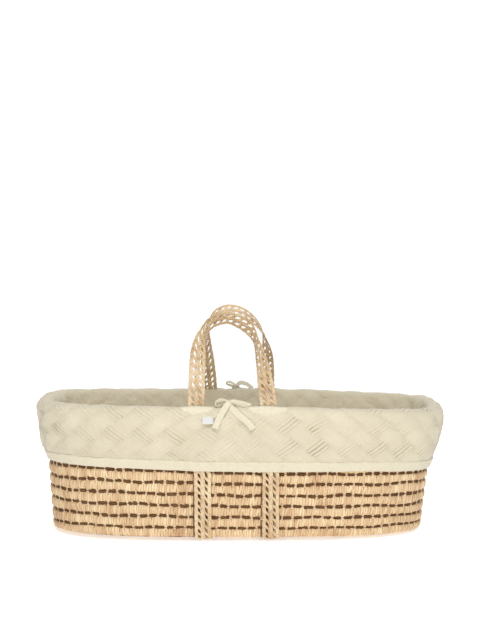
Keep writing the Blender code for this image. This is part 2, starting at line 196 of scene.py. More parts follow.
# Each bow's short and long loop: the way the ribbon's width points, and its route from the knot
# as (right, out, up).
BOW_LOOPS = {
    "front": (
        ((0.0, 0.75, 0.66), (
            (-0.0010, 0.0035, 0.0005), (-0.0066, 0.0060, 0.0056), (-0.0148, 0.0062, 0.0070),
            (-0.0216, 0.0045, 0.0030), (-0.0228, 0.0022, -0.0030), (-0.0166, 0.0012, -0.0048),
            (-0.0085, 0.0018, -0.0025), (-0.0010, 0.0025, -0.0005),
        )),
        ((0.0, 0.60, 0.80), (
            (0.0010, 0.0030, 0.0005), (0.0100, 0.0070, 0.0042), (0.0240, 0.0078, 0.0018),
            (0.0365, 0.0066, -0.0022), (0.0402, 0.0046, -0.0048), (0.0340, 0.0030, -0.0060),
            (0.0180, 0.0026, -0.0036), (0.0010, 0.0022, -0.0010),
        )),
    ),
    "rear": (
        ((0.0, 0.94, 0.34), (
            (-0.0010, 0.0035, 0.0020), (-0.0070, 0.0055, 0.0078), (-0.0140, 0.0060, 0.0120),
            (-0.0200, 0.0050, 0.0118), (-0.0222, 0.0030, 0.0088), (-0.0180, 0.0016, 0.0056),
            (-0.0090, 0.0018, 0.0026), (-0.0010, 0.0025, 0.0000),
        )),
        ((0.0, 0.80, 0.60), (
            (0.0010, 0.0030, 0.0030), (0.0060, 0.0060, 0.0084), (0.0130, 0.0075, 0.0106),
            (0.0220, 0.0072, 0.0082), (0.0320, 0.0058, 0.0022), (0.0375, 0.0042, -0.0030),
            (0.0300, 0.0028, -0.0066), (0.0150, 0.0024, -0.0058), (0.0010, 0.0022, -0.0020),
        )),
    ),
}
SHORT_TAIL = (
    (0.0030, 0.0062, 0.0040), (-0.0035, 0.0092, -0.0030), (-0.0110, 0.0096, -0.0150),
    (-0.0185, 0.0088, -0.0290), (-0.0262, 0.0086, -0.0460),
)
LONG_TAIL = (
    (-0.0010, 0.0045, -0.0010), (0.0085, 0.0082, -0.0095), (0.0230, 0.0092, -0.0225),
    (0.0370, 0.0092, -0.0345), (0.0475, 0.0086, -0.0470),
)

# The handles' lean, hinge line and centrelines, as in the CAD model. A centreline's points are
# (x, height above the hinge line, twist in degrees).
FRONT_LEAN = math.radians(51)
REAR_LEAN = math.radians(49)
HINGE_Z = 0.2720
HINGE_Y = 0.2185
FRONT_HANDLE = [
    (-0.0837, 0.0000, 0), (-0.0850, 0.0470, 4), (-0.0852, 0.0890, 20), (-0.0817, 0.1155, 50),
    (-0.0747, 0.1357, 74), (-0.0660, 0.1503, 84), (-0.0480, 0.1612, 86), (-0.0245, 0.1655, 86),
    (0.0000, 0.1560, 76), (0.0195, 0.1430, 70), (0.0300, 0.1275, 80), (0.0343, 0.1115, 78),
    (0.0388, 0.0939, 66), (0.0462, 0.0577, 40), (0.0518, 0.0213, 10), (0.0541, 0.0000, 0),
]
REAR_HANDLE = [
    (-0.0710, 0.0000, 0), (-0.0735, 0.0470, 14), (-0.0760, 0.0925, 42), (-0.0765, 0.1309, 62),
    (-0.0705, 0.1517, 74), (-0.0590, 0.1682, 84), (-0.0420, 0.1785, 88), (-0.0192, 0.1822, 90),
    (0.0045, 0.1770, 88), (0.0250, 0.1648, 84), (0.0430, 0.1462, 80), (0.0548, 0.1248, 70),
    (0.0605, 0.0995, 50), (0.0625, 0.0711, 30), (0.0633, 0.0343, 8), (0.0651, 0.0000, 0),
]


# ---------------------------------------------------------------- shapes in general

def signed_power(value, power):
    return np.sign(value) * np.abs(value) ** power


def stack(*values):
    """Vectors out of their parts, which may be single numbers, rows or columns."""
    return np.stack(np.broadcast_arrays(*values), -1)


def wall_size(height):
    """Half length and half width of the palm wall's outer face at a height."""
    share = (height - LOW_MIDDLE) / (HIGH_MIDDLE - LOW_MIDDLE)
    low, high = LOW_ROW[1], HIGH_ROW[1]
    return low.x + (high.x - low.x) * share, low.y + (high.y - low.y) * share


def outline_table(half_length, half_width, samples=24000):
    """Angles round an oval and how far round it they lie, from the middle of its rear side."""
    angles = math.pi / 2 + np.linspace(0, TURN, samples + 1)
    x = half_length * signed_power(np.cos(angles), 2 / OVAL_POWER)
    y = half_width * signed_power(np.sin(angles), 2 / OVAL_POWER)
    return angles, np.concatenate([[0], np.cumsum(np.hypot(np.diff(x), np.diff(y)))])


def girth_of(size):
    return outline_table(*size)[1][-1]


def outline(shares, size):
    """The unit oval's x and y at shares of the way round an oval of this size."""
    angles, walked = outline_table(*size)
    at = np.interp(np.mod(shares, 1.0) * walked[-1], walked, angles)
    return signed_power(np.cos(at), 2 / OVAL_POWER), signed_power(np.sin(at), 2 / OVAL_POWER)


def ring_points(unit_oval, size, offset, height, shift=0.0):
    """Points round an oval of half sizes, an offset outside it, at a height."""
    c, s = unit_oval
    return stack((size[0] + offset) * c + shift, (size[1] + offset) * s, height)


RIM_SIZE = wall_size(WALL_TOP)
RIM_GIRTH = girth_of(RIM_SIZE)
REPEATS = round(RIM_GIRTH / KNIT_WIDTH)


def band_points(shares, offset, height):
    """Points round the liner: offset outside the palm wall, at a height."""
    return ring_points(outline(shares, RIM_SIZE), wall_size(height), offset, height)


def along_table(table, values):
    places, heights = zip(*table)
    return np.interp(values, places, heights)


def sag_palm(points):
    """The palm coils sag towards the right, and wander up and down a little."""
    x, y, z = points[..., 0], points[..., 1], points[..., 2]
    sagged = z - along_table(PALM_SAG, x) * along_table(PALM_SAG_SHARE, z)
    sagged = sagged - along_table(END_DROP, z) * (x / 0.38) ** 4
    wander = 0.0009 * np.sin(x * 41 + 70 * z + y * 9) + 0.0007 * np.sin(x * 83 - y * 57 - 95 * z + 2)
    curl = np.clip(1 - (z - BASE_Z) / FOOT_CURL_HEIGHT, 0, 1)
    height = sagged + wander * np.clip(z / 0.04, 0, 1) + FOOT_CURL * curl
    x = x * (1 - 0.006 * curl**2) + along_table(LEAN, height)
    return stack(x, y * (1 - 0.014 * curl**2), height)


def sag_liner(points, inside=False):
    """The liner's hem and rim sit lower towards the right end, and its rear rim stands up."""
    x, y, z = points[..., 0], points[..., 1], points[..., 2]
    share = np.clip((z - HEM_BASE) / (RIM_TOP - HEM_BASE), 0, 1)
    rear = np.clip((y + 0.12) / 0.20, 0, 1)
    rim = along_table(RIM_SAG, x) - along_table(REAR_RAISE, x) * rear * rear * (3 - 2 * rear)
    sag = along_table(HEM_SAG, x) * (1 - share) + rim * share
    height = z - sag * np.clip(z / HEM_BASE, 0, 1)
    moved = along_table(LEAN, height)
    if inside:
        moved = np.maximum(moved, INNER_LEAN)
    else:
        moved = moved + END_SWELL * np.sin(math.pi * share) * signed_power(x / 0.42, 5)
    return stack(x + moved, y, height)


def ripple(shares, heights, seed, wavelength, terms=10):
    """Smooth random waves round the basket, about -1 to 1, that meet where they began."""
    rng = np.random.default_rng(seed)
    total = 0
    for _ in range(terms):
        heading = rng.uniform(0, TURN)
        length = wavelength * rng.uniform(0.7, 1.5)
        turns = round(RIM_GIRTH * math.cos(heading) / length)
        up = math.sin(heading) / length
        total = total + np.cos(TURN * (turns * shares + up * heights) + rng.uniform(0, TURN))
    return total / math.sqrt(terms)


def smooth_curve(controls, steps):
    """A Catmull-Rom curve through control points."""
    controls = np.asarray(controls, float)
    ends = np.vstack([2 * controls[0] - controls[1], controls, 2 * controls[-1] - controls[-2]])
    t = (np.arange(steps) / steps)[:, None]
    runs = []
    for a, b, c, d in zip(ends, ends[1:], ends[2:], ends[3:]):
        runs.append(0.5 * (2 * b + (c - a) * t + (2 * a - 5 * b + 4 * c - d) * t**2
                           + (3 * b - a - 3 * c + d) * t**3))
    return np.vstack(runs + [controls[-1:]])


def smooth_ring(points, steps):
    """A closed Catmull-Rom curve through points."""
    count = len(points) * steps
    return smooth_curve(np.vstack([points, points, points]), steps)[count: 2 * count]


def walk(points):
    """How far along a path its points lie."""
    return np.concatenate([[0], np.cumsum(np.linalg.norm(np.diff(points, axis=0), axis=1))])


def resample(points, spacing):
    """Rows of values at an even spacing along a path whose first three values are its place."""
    walked = walk(points[:, :3])
    at = np.linspace(0, walked[-1], int(round(walked[-1] / spacing)) + 1)
    return stack(*(np.interp(at, walked, values) for values in points.T))


def unit(vectors):
    return vectors / np.maximum(np.linalg.norm(vectors, axis=-1, keepdims=True), 1e-12)


def square_to(vectors, along):
    """Unit vectors at right angles to a path's direction."""
    return unit(vectors - along * np.sum(vectors * along, axis=1, keepdims=True))


def grid_normals(points):
    """Unit normals of a grid of points that closes on itself along its second axis."""
    around = np.roll(points, -1, axis=1) - np.roll(points, 1, axis=1)
    return unit(np.cross(around, np.gradient(points, axis=0)))


def grid_faces(rows, columns, closed):
    """Quads over a grid of points whose columns run round a ring. closed joins its last row to
    its first."""
    r, c = np.meshgrid(np.arange(rows if closed else rows - 1), np.arange(columns), indexing="ij")
    r2, c2 = (r + 1) % rows, (c + 1) % columns
    corners = [r * columns + c, r * columns + c2, r2 * columns + c2, r2 * columns + c]
    return np.stack(corners, -1).reshape(-1, 4)


def facing_out(points, faces):
    """Whether quads round a body face out of it."""
    a, b, c, d = (points[faces[:, i]] - points.mean(0) for i in range(4))
    return np.sum(a * np.cross(b, c)) + np.sum(a * np.cross(c, d)) >= 0


def add_mesh(name, points, faces, caps, values, slot, nodes=(), body="basket", material=None):
    """A smooth piece that rides on a body and stands for CAD nodes. Its caps face like its faces,
    and values holds attributes for its points."""
    points = points.reshape(-1, 3)
    caps = [cap.tolist() for cap in caps]
    if not facing_out(points, faces):
        faces = faces[:, ::-1]
        caps = [cap[::-1] for cap in caps]
    mesh = bpy.data.meshes.new(name)
    mesh.from_pydata(points.tolist(), [], faces.tolist() + caps)
    mesh.polygons.foreach_set("use_smooth", np.ones(len(mesh.polygons), bool))
    for key, value in values.items():
        value = np.asarray(value, np.float32)
        single = value.size == len(points)
        layer = mesh.attributes.new(key, "FLOAT" if single else "FLOAT_VECTOR", "POINT")
        layer.data.foreach_set("value" if single else "vector", value.ravel())
    mesh.materials.append(material or FINISHES[slot])
    mesh.update()
    piece = bpy.data.objects.new(name, mesh)
    SCENE.collection.objects.link(piece)
    if body:
        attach(piece, body)
    if nodes:
        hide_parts(*nodes)
    return piece


def add_grids(name, grids, slot, *nodes, **options):
    """One piece out of several grids, each (points, closed, values). A grid's columns run round a
    ring, and a grid that isn't closed gets a cap on either end."""
    faces, caps = [], []
    start = 0
    for points, closed, _ in grids:
        rows, columns = points.shape[:2]
        faces.append(grid_faces(rows, columns, closed) + start)
        if not closed:
            caps.append(np.arange(columns)[::-1] + start)
            caps.append(np.arange(columns) + start + (rows - 1) * columns)
        start += rows * columns
    values = {}
    for key in grids[0][2]:
        size = (3,) if key in ("leaf", "cloth") else ()
        parts = [np.broadcast_to(given[key], points.shape[:2] + size) for points, _, given in grids]
        values[key] = np.vstack([part.reshape(-1, *size, 1) for part in parts])
    points = np.vstack([points.reshape(-1, 3) for points, _, _ in grids])
    return add_mesh(name, points, np.vstack(faces), caps, values, slot, nodes, **options)


def add_grid(name, points, cloth, slot, *nodes, closed=False, **options):
    """One grid of cloth or foam, with its cloth's own coordinates."""
    return add_grids(name, [(points, closed, {"cloth": cloth})], slot, *nodes, **options)


# ---------------------------------------------------------------- materials

def srgb(*colour):
    """A linear colour from 0-255 screen values."""
    return (*(((v / 255 + 0.055) / 1.055) ** 2.4 if v > 10 else v / 255 / 12.92 for v in colour), 1.0)


WHITE = (1.0, 1.0, 1.0, 1.0)


class Nodes:
    """Short calls for building one node tree."""

    def __init__(self, name, roughness, specular=0.3, sheen=0.0):
        self.material = bpy.data.materials.new(name)
        self.material.use_nodes = True
        self.tree = self.material.node_tree
        self.shader = self.tree.nodes["Principled BSDF"]
        self.feed(self.shader, {"Roughness": roughness, "Specular IOR Level": specular,
                                "Sheen Weight": sheen, "Sheen Roughness": 0.6})

    def feed(self, node, sockets):
        """Gives inputs plain values, or links them to other nodes' outputs."""
        for key, value in sockets.items():
            if isinstance(value, bpy.types.NodeSocket):
                self.tree.links.new(value, node.inputs[key])
            else:
                node.inputs[key].default_value = value

    def add(self, kind, sockets, **settings):
        made = self.tree.nodes.new("ShaderNode" + kind)
        for key, value in settings.items():
            setattr(made, key, value)
        self.feed(made, sockets)
        return made

    def attribute(self, name, output="Fac"):
        return self.add("Attribute", {}, attribute_name=name).outputs[output]

    def position(self):
        return self.add("TexCoord", {}).outputs["Object"]

    def scaled(self, vector, scale):
        return self.add("VectorMath", {0: vector, 1: scale}, operation="MULTIPLY").outputs[0]

    def noise(self, vector, scale, detail=3.0):
        sockets = {"Vector": vector, "Scale": scale, "Detail": detail, "Roughness": 0.6}
        return self.add("TexNoise", sockets).outputs["Fac"]

    def cells(self, vector, scale):
        sockets = {"Vector": vector, "Scale": scale}
        return self.add("TexVoronoi", sockets, feature="F1").outputs["Distance"]

    def math(self, operation, *values):
        return self.add("Math", dict(enumerate(values)), operation=operation).outputs[0]

    def weigh(self, *terms, plus=0.0):
        """The weighted sum of (value, weight) terms."""
        for value, weight in terms:
            plus = self.math("MULTIPLY_ADD", value, weight, plus)
        return plus

    def ramp(self, value, *stops):
        """Colours over a 0-1 value: stops of (place, linear colour)."""
        made = self.add("ValToRGB", {"Fac": value})
        points = made.color_ramp.elements
        while len(points) < len(stops):
            points.new(0.5)
        for point, (place, colour) in zip(points, stops):
            point.position = place
            point.color = colour
        return made.outputs["Color"]

    def finish(self, colour, height, distance=0.001, strength=1.0):
        bump = self.add("Bump", {"Distance": distance, "Strength": strength, "Height": height})
        self.feed(self.shader, {"Base Color": colour, "Normal": bump.outputs["Normal"]})
        return self.material


def palm_leaf(name, pale, middle, deep):
    """Dried palm leaf: a tone of its own for each wrap, with fibres along the leaf, and painted shade
    where the crease attribute is low: at the edges of wraps and strands, at their folds and behind the
    straps.
    """
    n = Nodes(name, roughness=0.62, specular=0.35)
    leaf = n.attribute("leaf", "Vector")
    tone, crease = n.attribute("tone"), n.attribute("crease")
    fibre = n.noise(n.scaled(leaf, (1.0, 0.06, 1.0)), 900.0, detail=4.0)
    strip = n.noise(n.scaled(leaf, (1.0, 0.05, 1.0)), 330.0, detail=2.0)
    blotch = n.noise(n.position(), 24.0)
    mixed = n.weigh((tone, 0.36), (blotch, 0.64), (fibre, 0.50), (strip, 0.60), plus=-0.55)
    colour = n.ramp(mixed, (0.18, srgb(*deep)), (0.5, srgb(*middle)), (0.85, srgb(*pale)))
    # Painted shade: a low crease darkens the leaf's colour.
    shade = n.ramp(crease, (0.0, srgb(112, 80, 52)), (0.2, srgb(184, 146, 106)), (0.55, WHITE))
    shaded = n.add("Mix", {}, data_type="RGBA", blend_type="MULTIPLY")
    n.feed(shaded, {"Factor": 0.8, "A": colour, "B": shade})
    n.feed(n.shader, {"Roughness": n.weigh((fibre, 0.25), plus=0.45)})
    return n.finish(shaded.outputs["Result"], n.weigh((fibre, 0.7), (crease, 0.5)), 0.0006, 0.7)


def plain_palm():
    """Palm seen only from inside the liner: streaks by place alone."""
    n = Nodes("plain_palm", roughness=0.65)
    streak = n.noise(n.scaled(n.position(), (1.0, 1.0, 0.12)), 420.0, detail=4.0)
    colour = n.ramp(streak, (0.3, srgb(176, 130, 84)), (0.7, srgb(228, 196, 150)))
    return n.finish(colour, streak, 0.0008)


def palm_stalk():
    """The dark stalks of the coil's core, seen between the wraps."""
    n = Nodes("palm_stalk", roughness=0.8, specular=0.2)
    leaf = n.attribute("leaf", "Vector")
    fibre = n.noise(n.scaled(leaf, (0.05, 1.0, 1.0)), 1400.0)
    mixed = n.weigh((fibre, 0.5), (n.noise(leaf, 60.0), 0.5))
    stops = (0.3, srgb(70, 46, 27)), (0.6, srgb(116, 84, 55)), (0.8, srgb(168, 134, 96))
    return n.finish(n.ramp(mixed, *stops), fibre, 0.0012)


def knit_fabric():
    """Cotton knit: broad plaited ribs, with small stitches over them, and painted shade carried by the
    relief attribute.
    """
    n = Nodes("knit_fabric", roughness=0.95, specular=0.15, sheen=0.25)
    cloth = n.attribute("cloth", "Vector")
    stitch = n.cells(n.scaled(cloth, (1.0, 1.35, 1.0)), 520.0)
    fuzz = n.noise(cloth, 260.0, detail=4.0)
    patch = n.noise(cloth, 14.0, detail=2.0)
    mixed = n.weigh((n.attribute("relief"), 0.55), (fuzz, 0.25), (patch, 0.20))
    stops = (0.0, srgb(166, 155, 128)), (0.32, srgb(202, 192, 167)), (0.85, srgb(220, 211, 188))
    wave = n.math("COSINE", n.math("MULTIPLY", n.attribute("rib"), TURN * RIBS))
    ribs = n.math("MULTIPLY", wave, n.attribute("ribbed"))
    height = n.weigh((stitch, -0.45), (fuzz, 0.35), (ribs, 0.28), plus=0.45)
    return n.finish(n.ramp(mixed, *stops), height, 0.0011, 0.8)


def plain_fabric(name, low, high, thread=1500.0):
    """Plain woven cotton, from its darkest to its lightest colour."""
    n = Nodes(name, roughness=0.9, specular=0.2, sheen=0.2)
    cloth = n.attribute("cloth", "Vector")
    sockets = {"Vector": cloth, "Scale": thread / 6.3, "Distortion": 1.0, "Detail": 1.0}
    warp, weft = (n.add("TexWave", sockets, bands_direction=axis).outputs["Fac"] for axis in "XY")
    weave = n.math("MULTIPLY", warp, weft)
    fuzz = n.noise(cloth, 160.0, detail=4.0)
    mixed = n.weigh((weave, 0.35), (fuzz, 0.65))
    colour = n.ramp(mixed, (0.2, srgb(*low)), (0.75, srgb(*high)))
    return n.finish(colour, n.weigh((weave, 1.0), (fuzz, 0.8)), 0.0004, 0.6)


def foam():
    n = Nodes("foam", roughness=0.95, specular=0.1)
    pores = n.cells(n.position(), 650.0)
    mixed = n.weigh((pores, 0.6), (n.noise(n.position(), 90.0), 0.4))
    return n.finish(n.ramp(mixed, (0.2, srgb(214, 205, 170)), (0.7, srgb(238, 232, 206))), pores, 0.0008)


FINISHES = {
    "palm_leaf": palm_leaf("palm_leaf", (243, 225, 187), (222, 192, 151), (191, 152, 113)),
    "palm_braid": palm_leaf("palm_braid", (240, 224, 190), (220, 194, 156), (182, 146, 106)),
    "knit_fabric": knit_fabric(),
    "binding_fabric": plain_fabric("binding_fabric", (213, 205, 179), (228, 220, 199)),
    "sheet_cotton": plain_fabric("sheet_cotton", (232, 228, 216), (246, 243, 235), 1900.0),
    "elastic": plain_fabric("elastic", (222, 220, 214), (244, 243, 238), 900.0),
    "label_tape": plain_fabric("label_tape", (212, 211, 209), (232, 231, 229), 2400.0),
    "foam": foam(),
}
STALK = palm_stalk()
HIDDEN_PALM = plain_palm()


# ---------------------------------------------------------------- palm coils

def wrapped_coil(name, node, place, girth, seed, half_height, stitch_reach):
    """One turn of the coil: a flat bundle wrapped in leaf, and the stitches that cross to the next
    turn. place(share, across, out) gives the points for how far round, across and out they are."""
    rng = np.random.default_rng(seed)
    wraps = round(girth / LEAF_WIDTH)

    def each(values):
        return np.repeat(values, len(ACROSS_WRAP))

    widths = rng.uniform(0.7, 1.35, wraps)
    starts = np.concatenate([[0], np.cumsum(widths)[:-1]]) / widths.sum()
    widths = widths / widths.sum()
    shares = (starts[:, None] + widths[:, None] * ACROSS_WRAP).ravel()
    crowns = np.tile(WRAP_CROWN, wraps)
    own_tones = rng.uniform(0, 1, wraps)
    shared_tones = np.repeat(rng.uniform(0, 1, wraps // 3 + 1), 3)[:wraps]
    tones = 0.6 * own_tones + 0.4 * shared_tones
    lifts = each(rng.normal(0, 0.00022, wraps))
    slants = each(rng.normal(0.0, 0.07, wraps)) + 0.05
    wave = 0.00035 * np.sin(shares * TURN * 9 + seed)
    edge_top = each(rng.normal(0, 0.00045, wraps)) + wave
    edge_low = each(rng.normal(0, 0.00045, wraps)) + wave

    turn = np.arange(14)[:, None] / 14 * TURN
    across = half_height * signed_power(np.cos(turn), 0.55)
    out = COIL_HALF_DEPTH * signed_power(np.sin(turn), 0.8)
    v = across + np.where(across > 0, edge_top, edge_low) * np.abs(across) / half_height
    v = v + np.sign(across) * 0.0003 * (crowns - 0.6)
    w = out + (0.00050 * (crowns - 0.6) + lifts) * np.where(out > -0.0001, 1.0, 0.3)
    points = place(np.mod(shares + slants * v / girth, 1.0), v, w)
    x = points[..., 0] - along_table(LEAN, points[..., 2])
    # Painted shade: crease runs dark at each wrap's edges, and is 0, the darkest painted shade, on palm
    # behind a strap.
    behind = np.minimum(np.abs(x - LEFT_STRAP_X), np.abs(x - RIGHT_STRAP_X)) < STRAP_SHADE_HALF_WIDTH
    crease = np.where(behind, 0.0, 0.2 + 0.8 * crowns)
    leaf = stack(shares * girth, v, w)
    grids = [(points, True, {"tone": each(tones), "crease": crease, "leaf": leaf})]
    if stitch_reach:
        grids += stitches(place, girth, rng, starts, widths, tones, stitch_reach, half_height)
    add_grids(name, grids, "palm_leaf", node)


def stitches(place, girth, rng, starts, widths, tones, reach, half_height):
    """Strips of leaf that cross the gap from every few wraps to the next turn of the coil."""
    chosen = np.arange(0, len(starts) - 1, WRAPS_PER_STITCH)
    middles = starts[chosen] + widths[chosen] * rng.uniform(0.35, 0.65, len(chosen))
    half_widths = STITCH_WIDTH / 2 * rng.uniform(0.7, 1.25, len(chosen))
    leans = rng.normal(0, 0.0011, len(chosen))
    stations = np.linspace(0, 1, 5)[:, None]
    v = -half_height + STITCH_OVERLAP - stations * (reach + 2 * STITCH_OVERLAP)
    w = 0.0021 - 0.0016 * np.sin(stations * math.pi) ** 0.6
    w = w + STITCH_SECTION[:, 1] * STITCH_THICKNESS
    grids = []
    for middle, half_width, lean, tone in zip(middles, half_widths, leans, tones[chosen]):
        along = STITCH_SECTION[:, 0] * half_width + lean * (stations - 0.5)
        points = place(np.mod(middle + along / girth, 1.0), v, w)
        leaf = stack(along + middle * girth, v, w)
        values = {"tone": min(tone * 0.6 + 0.35, 1), "crease": 0.8, "leaf": leaf}
        grids.append((points, False, values))
    return grids


def stalks(name, size, columns, centre, half_depth, wobble, place):
    """A ring of dark stalk in the gap between two turns of the coil."""
    shares = np.arange(columns) / columns
    turn = np.arange(8)[:, None] / 8 * TURN
    v = STALK_HALF_HEIGHT * np.cos(turn) + wobble * np.sin(shares * TURN * 23)
    w = centre + half_depth * np.sin(turn)
    leaf = stack(shares * girth_of(size), v, w)
    grid = (place(outline(shares, size), v, w), True, {"leaf": leaf})
    add_grids(name, [grid], "palm_leaf", material=STALK)


def palm_wall():
    """The coils of the wall that show under the skirt, and the dark stalks in the gaps."""
    for row in range(1, SHOWN_ROWS + 1):
        node = f"wall_row_{row:02d}"
        low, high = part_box(node)
        middle = (low.z + high.z) / 2
        size = wall_size(middle)

        def on_wall(unit_oval, height, out):
            return sag_palm(ring_points(unit_oval, wall_size(height), out, height))

        def place(share, across, out, middle=middle, size=size):
            return on_wall(outline(share, size), middle + across, COIL_CENTRE + out)

        def stalk_place(unit_oval, v, w, height=high.z + 0.0002):
            return on_wall(unit_oval, height + v, w)

        half_height = COIL_HALF_HEIGHT + (0.0012 if row == 1 else 0)
        gap = ROW_PITCH - 2 * COIL_HALF_HEIGHT if row > 1 else None
        wrapped_coil(f"wall_coil_{row:02d}", node, place, girth_of(size), row, half_height, gap)
        stalks(f"wall_stalks_{row:02d}", size, 360, WALL_STALK_DEPTH, 0.0019, 0.0004, stalk_place)


def palm_base():
    """The coils of the base, seen from below, and the dark stalks behind the gaps."""
    low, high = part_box("base_core")
    middle = (low.z + high.z) / 2
    foot = wall_size(BASE_Z)
    nodes = [f"base_row_{i}" for i in range(1, 8)] + ["base_core"]
    for index, node in enumerate(nodes):
        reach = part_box(node)[1].y
        is_core = node == "base_core"
        width = reach if is_core else BASE_PITCH
        outside = reach - foot[1] - width / 2
        size = (foot[0] + outside, foot[1] + outside)

        def place(share, across, out, size=size, outside=outside):
            lift = FOOT_ROUNDING * np.clip(1 + (outside + across) / 0.030, 0, 1) ** 2
            height = middle - out * 0.92 + lift
            return ring_points(outline(share, size), size, across, height, LEAN[0][1])

        half_height = width / 2 - (0.0006 if is_core else 0.0018)
        wrapped_coil(f"base_coil_{index + 1}", node, place, girth_of(size), 40 + index, half_height,
                     None if is_core else BASE_GAP)
    for index in range(len(nodes)):
        outside = BASE_STALK_OUTSIDE - BASE_PITCH * index
        size = (foot[0] + outside, foot[1] + outside)

        def stalk_place(unit_oval, v, w, size=size):
            return ring_points(unit_oval, size, v, middle + w, LEAN[0][1])

        stalks(f"base_stalks_{index + 1}", size, 240, 0.0, 0.0020, 0.0, stalk_place)


# ---------------------------------------------------------------- straps and handles

def strap_stations(controls, side, lean):
    """The whole run of one loop, from under the base's middle, over the handle and back:
    rows of place, direction of the width, and direction out of the face."""
    def wall_run(x_top, x_hem, end):
        """Down the wall from an end of the handle's loop."""
        foot = wall_size(BASE_Z)[1]
        heights = (x_top, HINGE_Z - 0.006), (x_top, 0.25), (x_hem, 0.136), (x_hem, 0.020)
        rows = [(x, wall_size(height)[1] + STRAP_STAND_OFF, height) for x, height in heights]
        under = ((0.0001, 0.0120), (-0.0036, 0.0062), (-0.0130, 0.0034), (-0.0240, 0.0024),
                 (0.0002 - foot, 0.0024))
        rows += [(x_hem, foot + out, height) for out, height in under]
        outs = [(0, side, 0.1)] * 4 + [(0, side, -0.4), (0, side, -1.2)] + [(0, 0, -1)] * 3
        flip = np.sign(np.dot(end[6:9], [0, side, 0.5]))
        widths = np.tile(end[3:6], (len(rows), 1))
        return np.hstack([np.array(rows) * (1, side, 1), widths, np.array(outs) * flip])

    hinge = np.array([0, side * HINGE_Y, HINGE_Z])
    up_plane = np.array([0, -side * math.sin(lean), math.cos(lean)])
    curve = smooth_curve(controls, 8)
    up = curve[:, 1:2] / math.cos(lean)
    centres = hinge + curve[:, :1] * (1, 0, 0) + up * up_plane
    along = unit(np.gradient(centres, axis=0))
    along[0], along[-1] = up_plane, -up_plane
    flat = np.cross(np.cross([1, 0, 0], up_plane), along)
    twist = np.radians(curve[:, 2:])
    across = flat * np.cos(twist) + np.cross(along, flat) * np.sin(twist)
    loop = np.hstack([centres, across, np.cross(along, across)])
    first = wall_run(controls[0][0], LEFT_STRAP_X, loop[0])[::-1]
    last = wall_run(controls[-1][0], RIGHT_STRAP_X, loop[-1])
    return np.vstack([first[:-1], loop, last[1:]])


def soften(rows, passes):
    """Rounds the corners of a path and of the directions along it."""
    for _ in range(passes):
        rows[1:-1] = 0.25 * rows[:-2] + 0.5 * rows[1:-1] + 0.25 * rows[2:]
    return rows


def strand(rows, walked, at, across, lift, width, swell):
    """The points of one folded strand of leaf, at distances along a strap, places across it and
    heights off its face. swell thickens it."""
    spot = stack(*(np.interp(at, walked, values) for values in rows.T))
    face = unit(spot[:, 6:])
    centre = spot[:, :3] + unit(spot[:, 3:6]) * across[:, None] + face * lift[:, None]
    sideways = unit(np.cross(face, unit(np.gradient(centre, axis=0))))
    flat = STRAND_SECTION[:, 0] * width / 2
    thick = STRAND_SECTION[:, 1] * STRAND_THICKNESS / 2 * swell
    return centre[:, None] + sideways[:, None] * flat[:, None] + face[:, None] * thick[..., None]


def strap_strands(rows, walked, side):
    """The strands of a strap: a cord along each edge, two strands twisted down its middle, and
    slanting rungs between them. Each is (points, folds): folds runs 0 to 1 from fold to fold."""
    rise = np.abs(np.gradient(rows[:, 2], walked)) / math.cos(FRONT_LEAN)
    in_leg = np.clip((rows[:, 2] - HINGE_Z) / 0.03, 0, 1) * np.clip(rise, 0, 1) ** 2
    pitch = WALL_PITCH + (LEG_PITCH - WALL_PITCH) * in_leg
    turns = np.concatenate([[0], np.cumsum(np.diff(walked) / pitch[1:])])
    turns = turns * round(turns[-1]) / turns[-1]
    reach = (STRAP_WIDTH - EDGE_CORD_WIDTH) / 2
    across_strand = STRAND_SECTION[:, 0] * side
    made = []
    for edge in (-1, 1):
        wobble = 0.0003 * np.sin(TURN * turns + edge) + 0.0002 * np.sin(walked * 97 + edge * 5)
        folds = np.mod(turns[:, None] - edge * 0.16 * across_strand + 0.5, 1)
        across = edge * reach + wobble
        swell = 1.28 - 0.45 * folds
        cord = strand(rows, walked, walked, across, 0 * walked, EDGE_CORD_WIDTH, swell)
        made.append((cord, folds))
    for twist in (0, math.pi):
        angle = math.pi * turns + twist
        folds = np.mod(turns[:, None] - 0.2 * across_strand + twist / 4, 1)
        across, lift = MIDDLE_SWING * np.cos(angle), 0.0007 * np.sin(angle) * side
        swell = 1.15 - 0.25 * folds
        made.append((strand(rows, walked, walked, across, lift, MIDDLE_STRAND_WIDTH, swell), folds))
    cross = np.linspace(-1, 1, 11)
    for rung in range(1, round(turns[-1])):
        at = np.interp(rung + cross * RUNG_SLANT / 2, turns, walked)
        at = at + 0.0007 * np.sin(rung * 1.7) * (1 - cross**2)
        under = -0.0007 * np.cos(cross * math.pi / 2) ** 2 + 0.0002 * np.sin(rung * 2.3)
        width = RUNG_SHARE * np.interp(rung, turns, pitch) * (1 + 0.09 * math.sin(rung * 5.1))
        made.append((strand(rows, walked, at, -side * reach * cross, under, width, 0.9), 0.55))
    return made


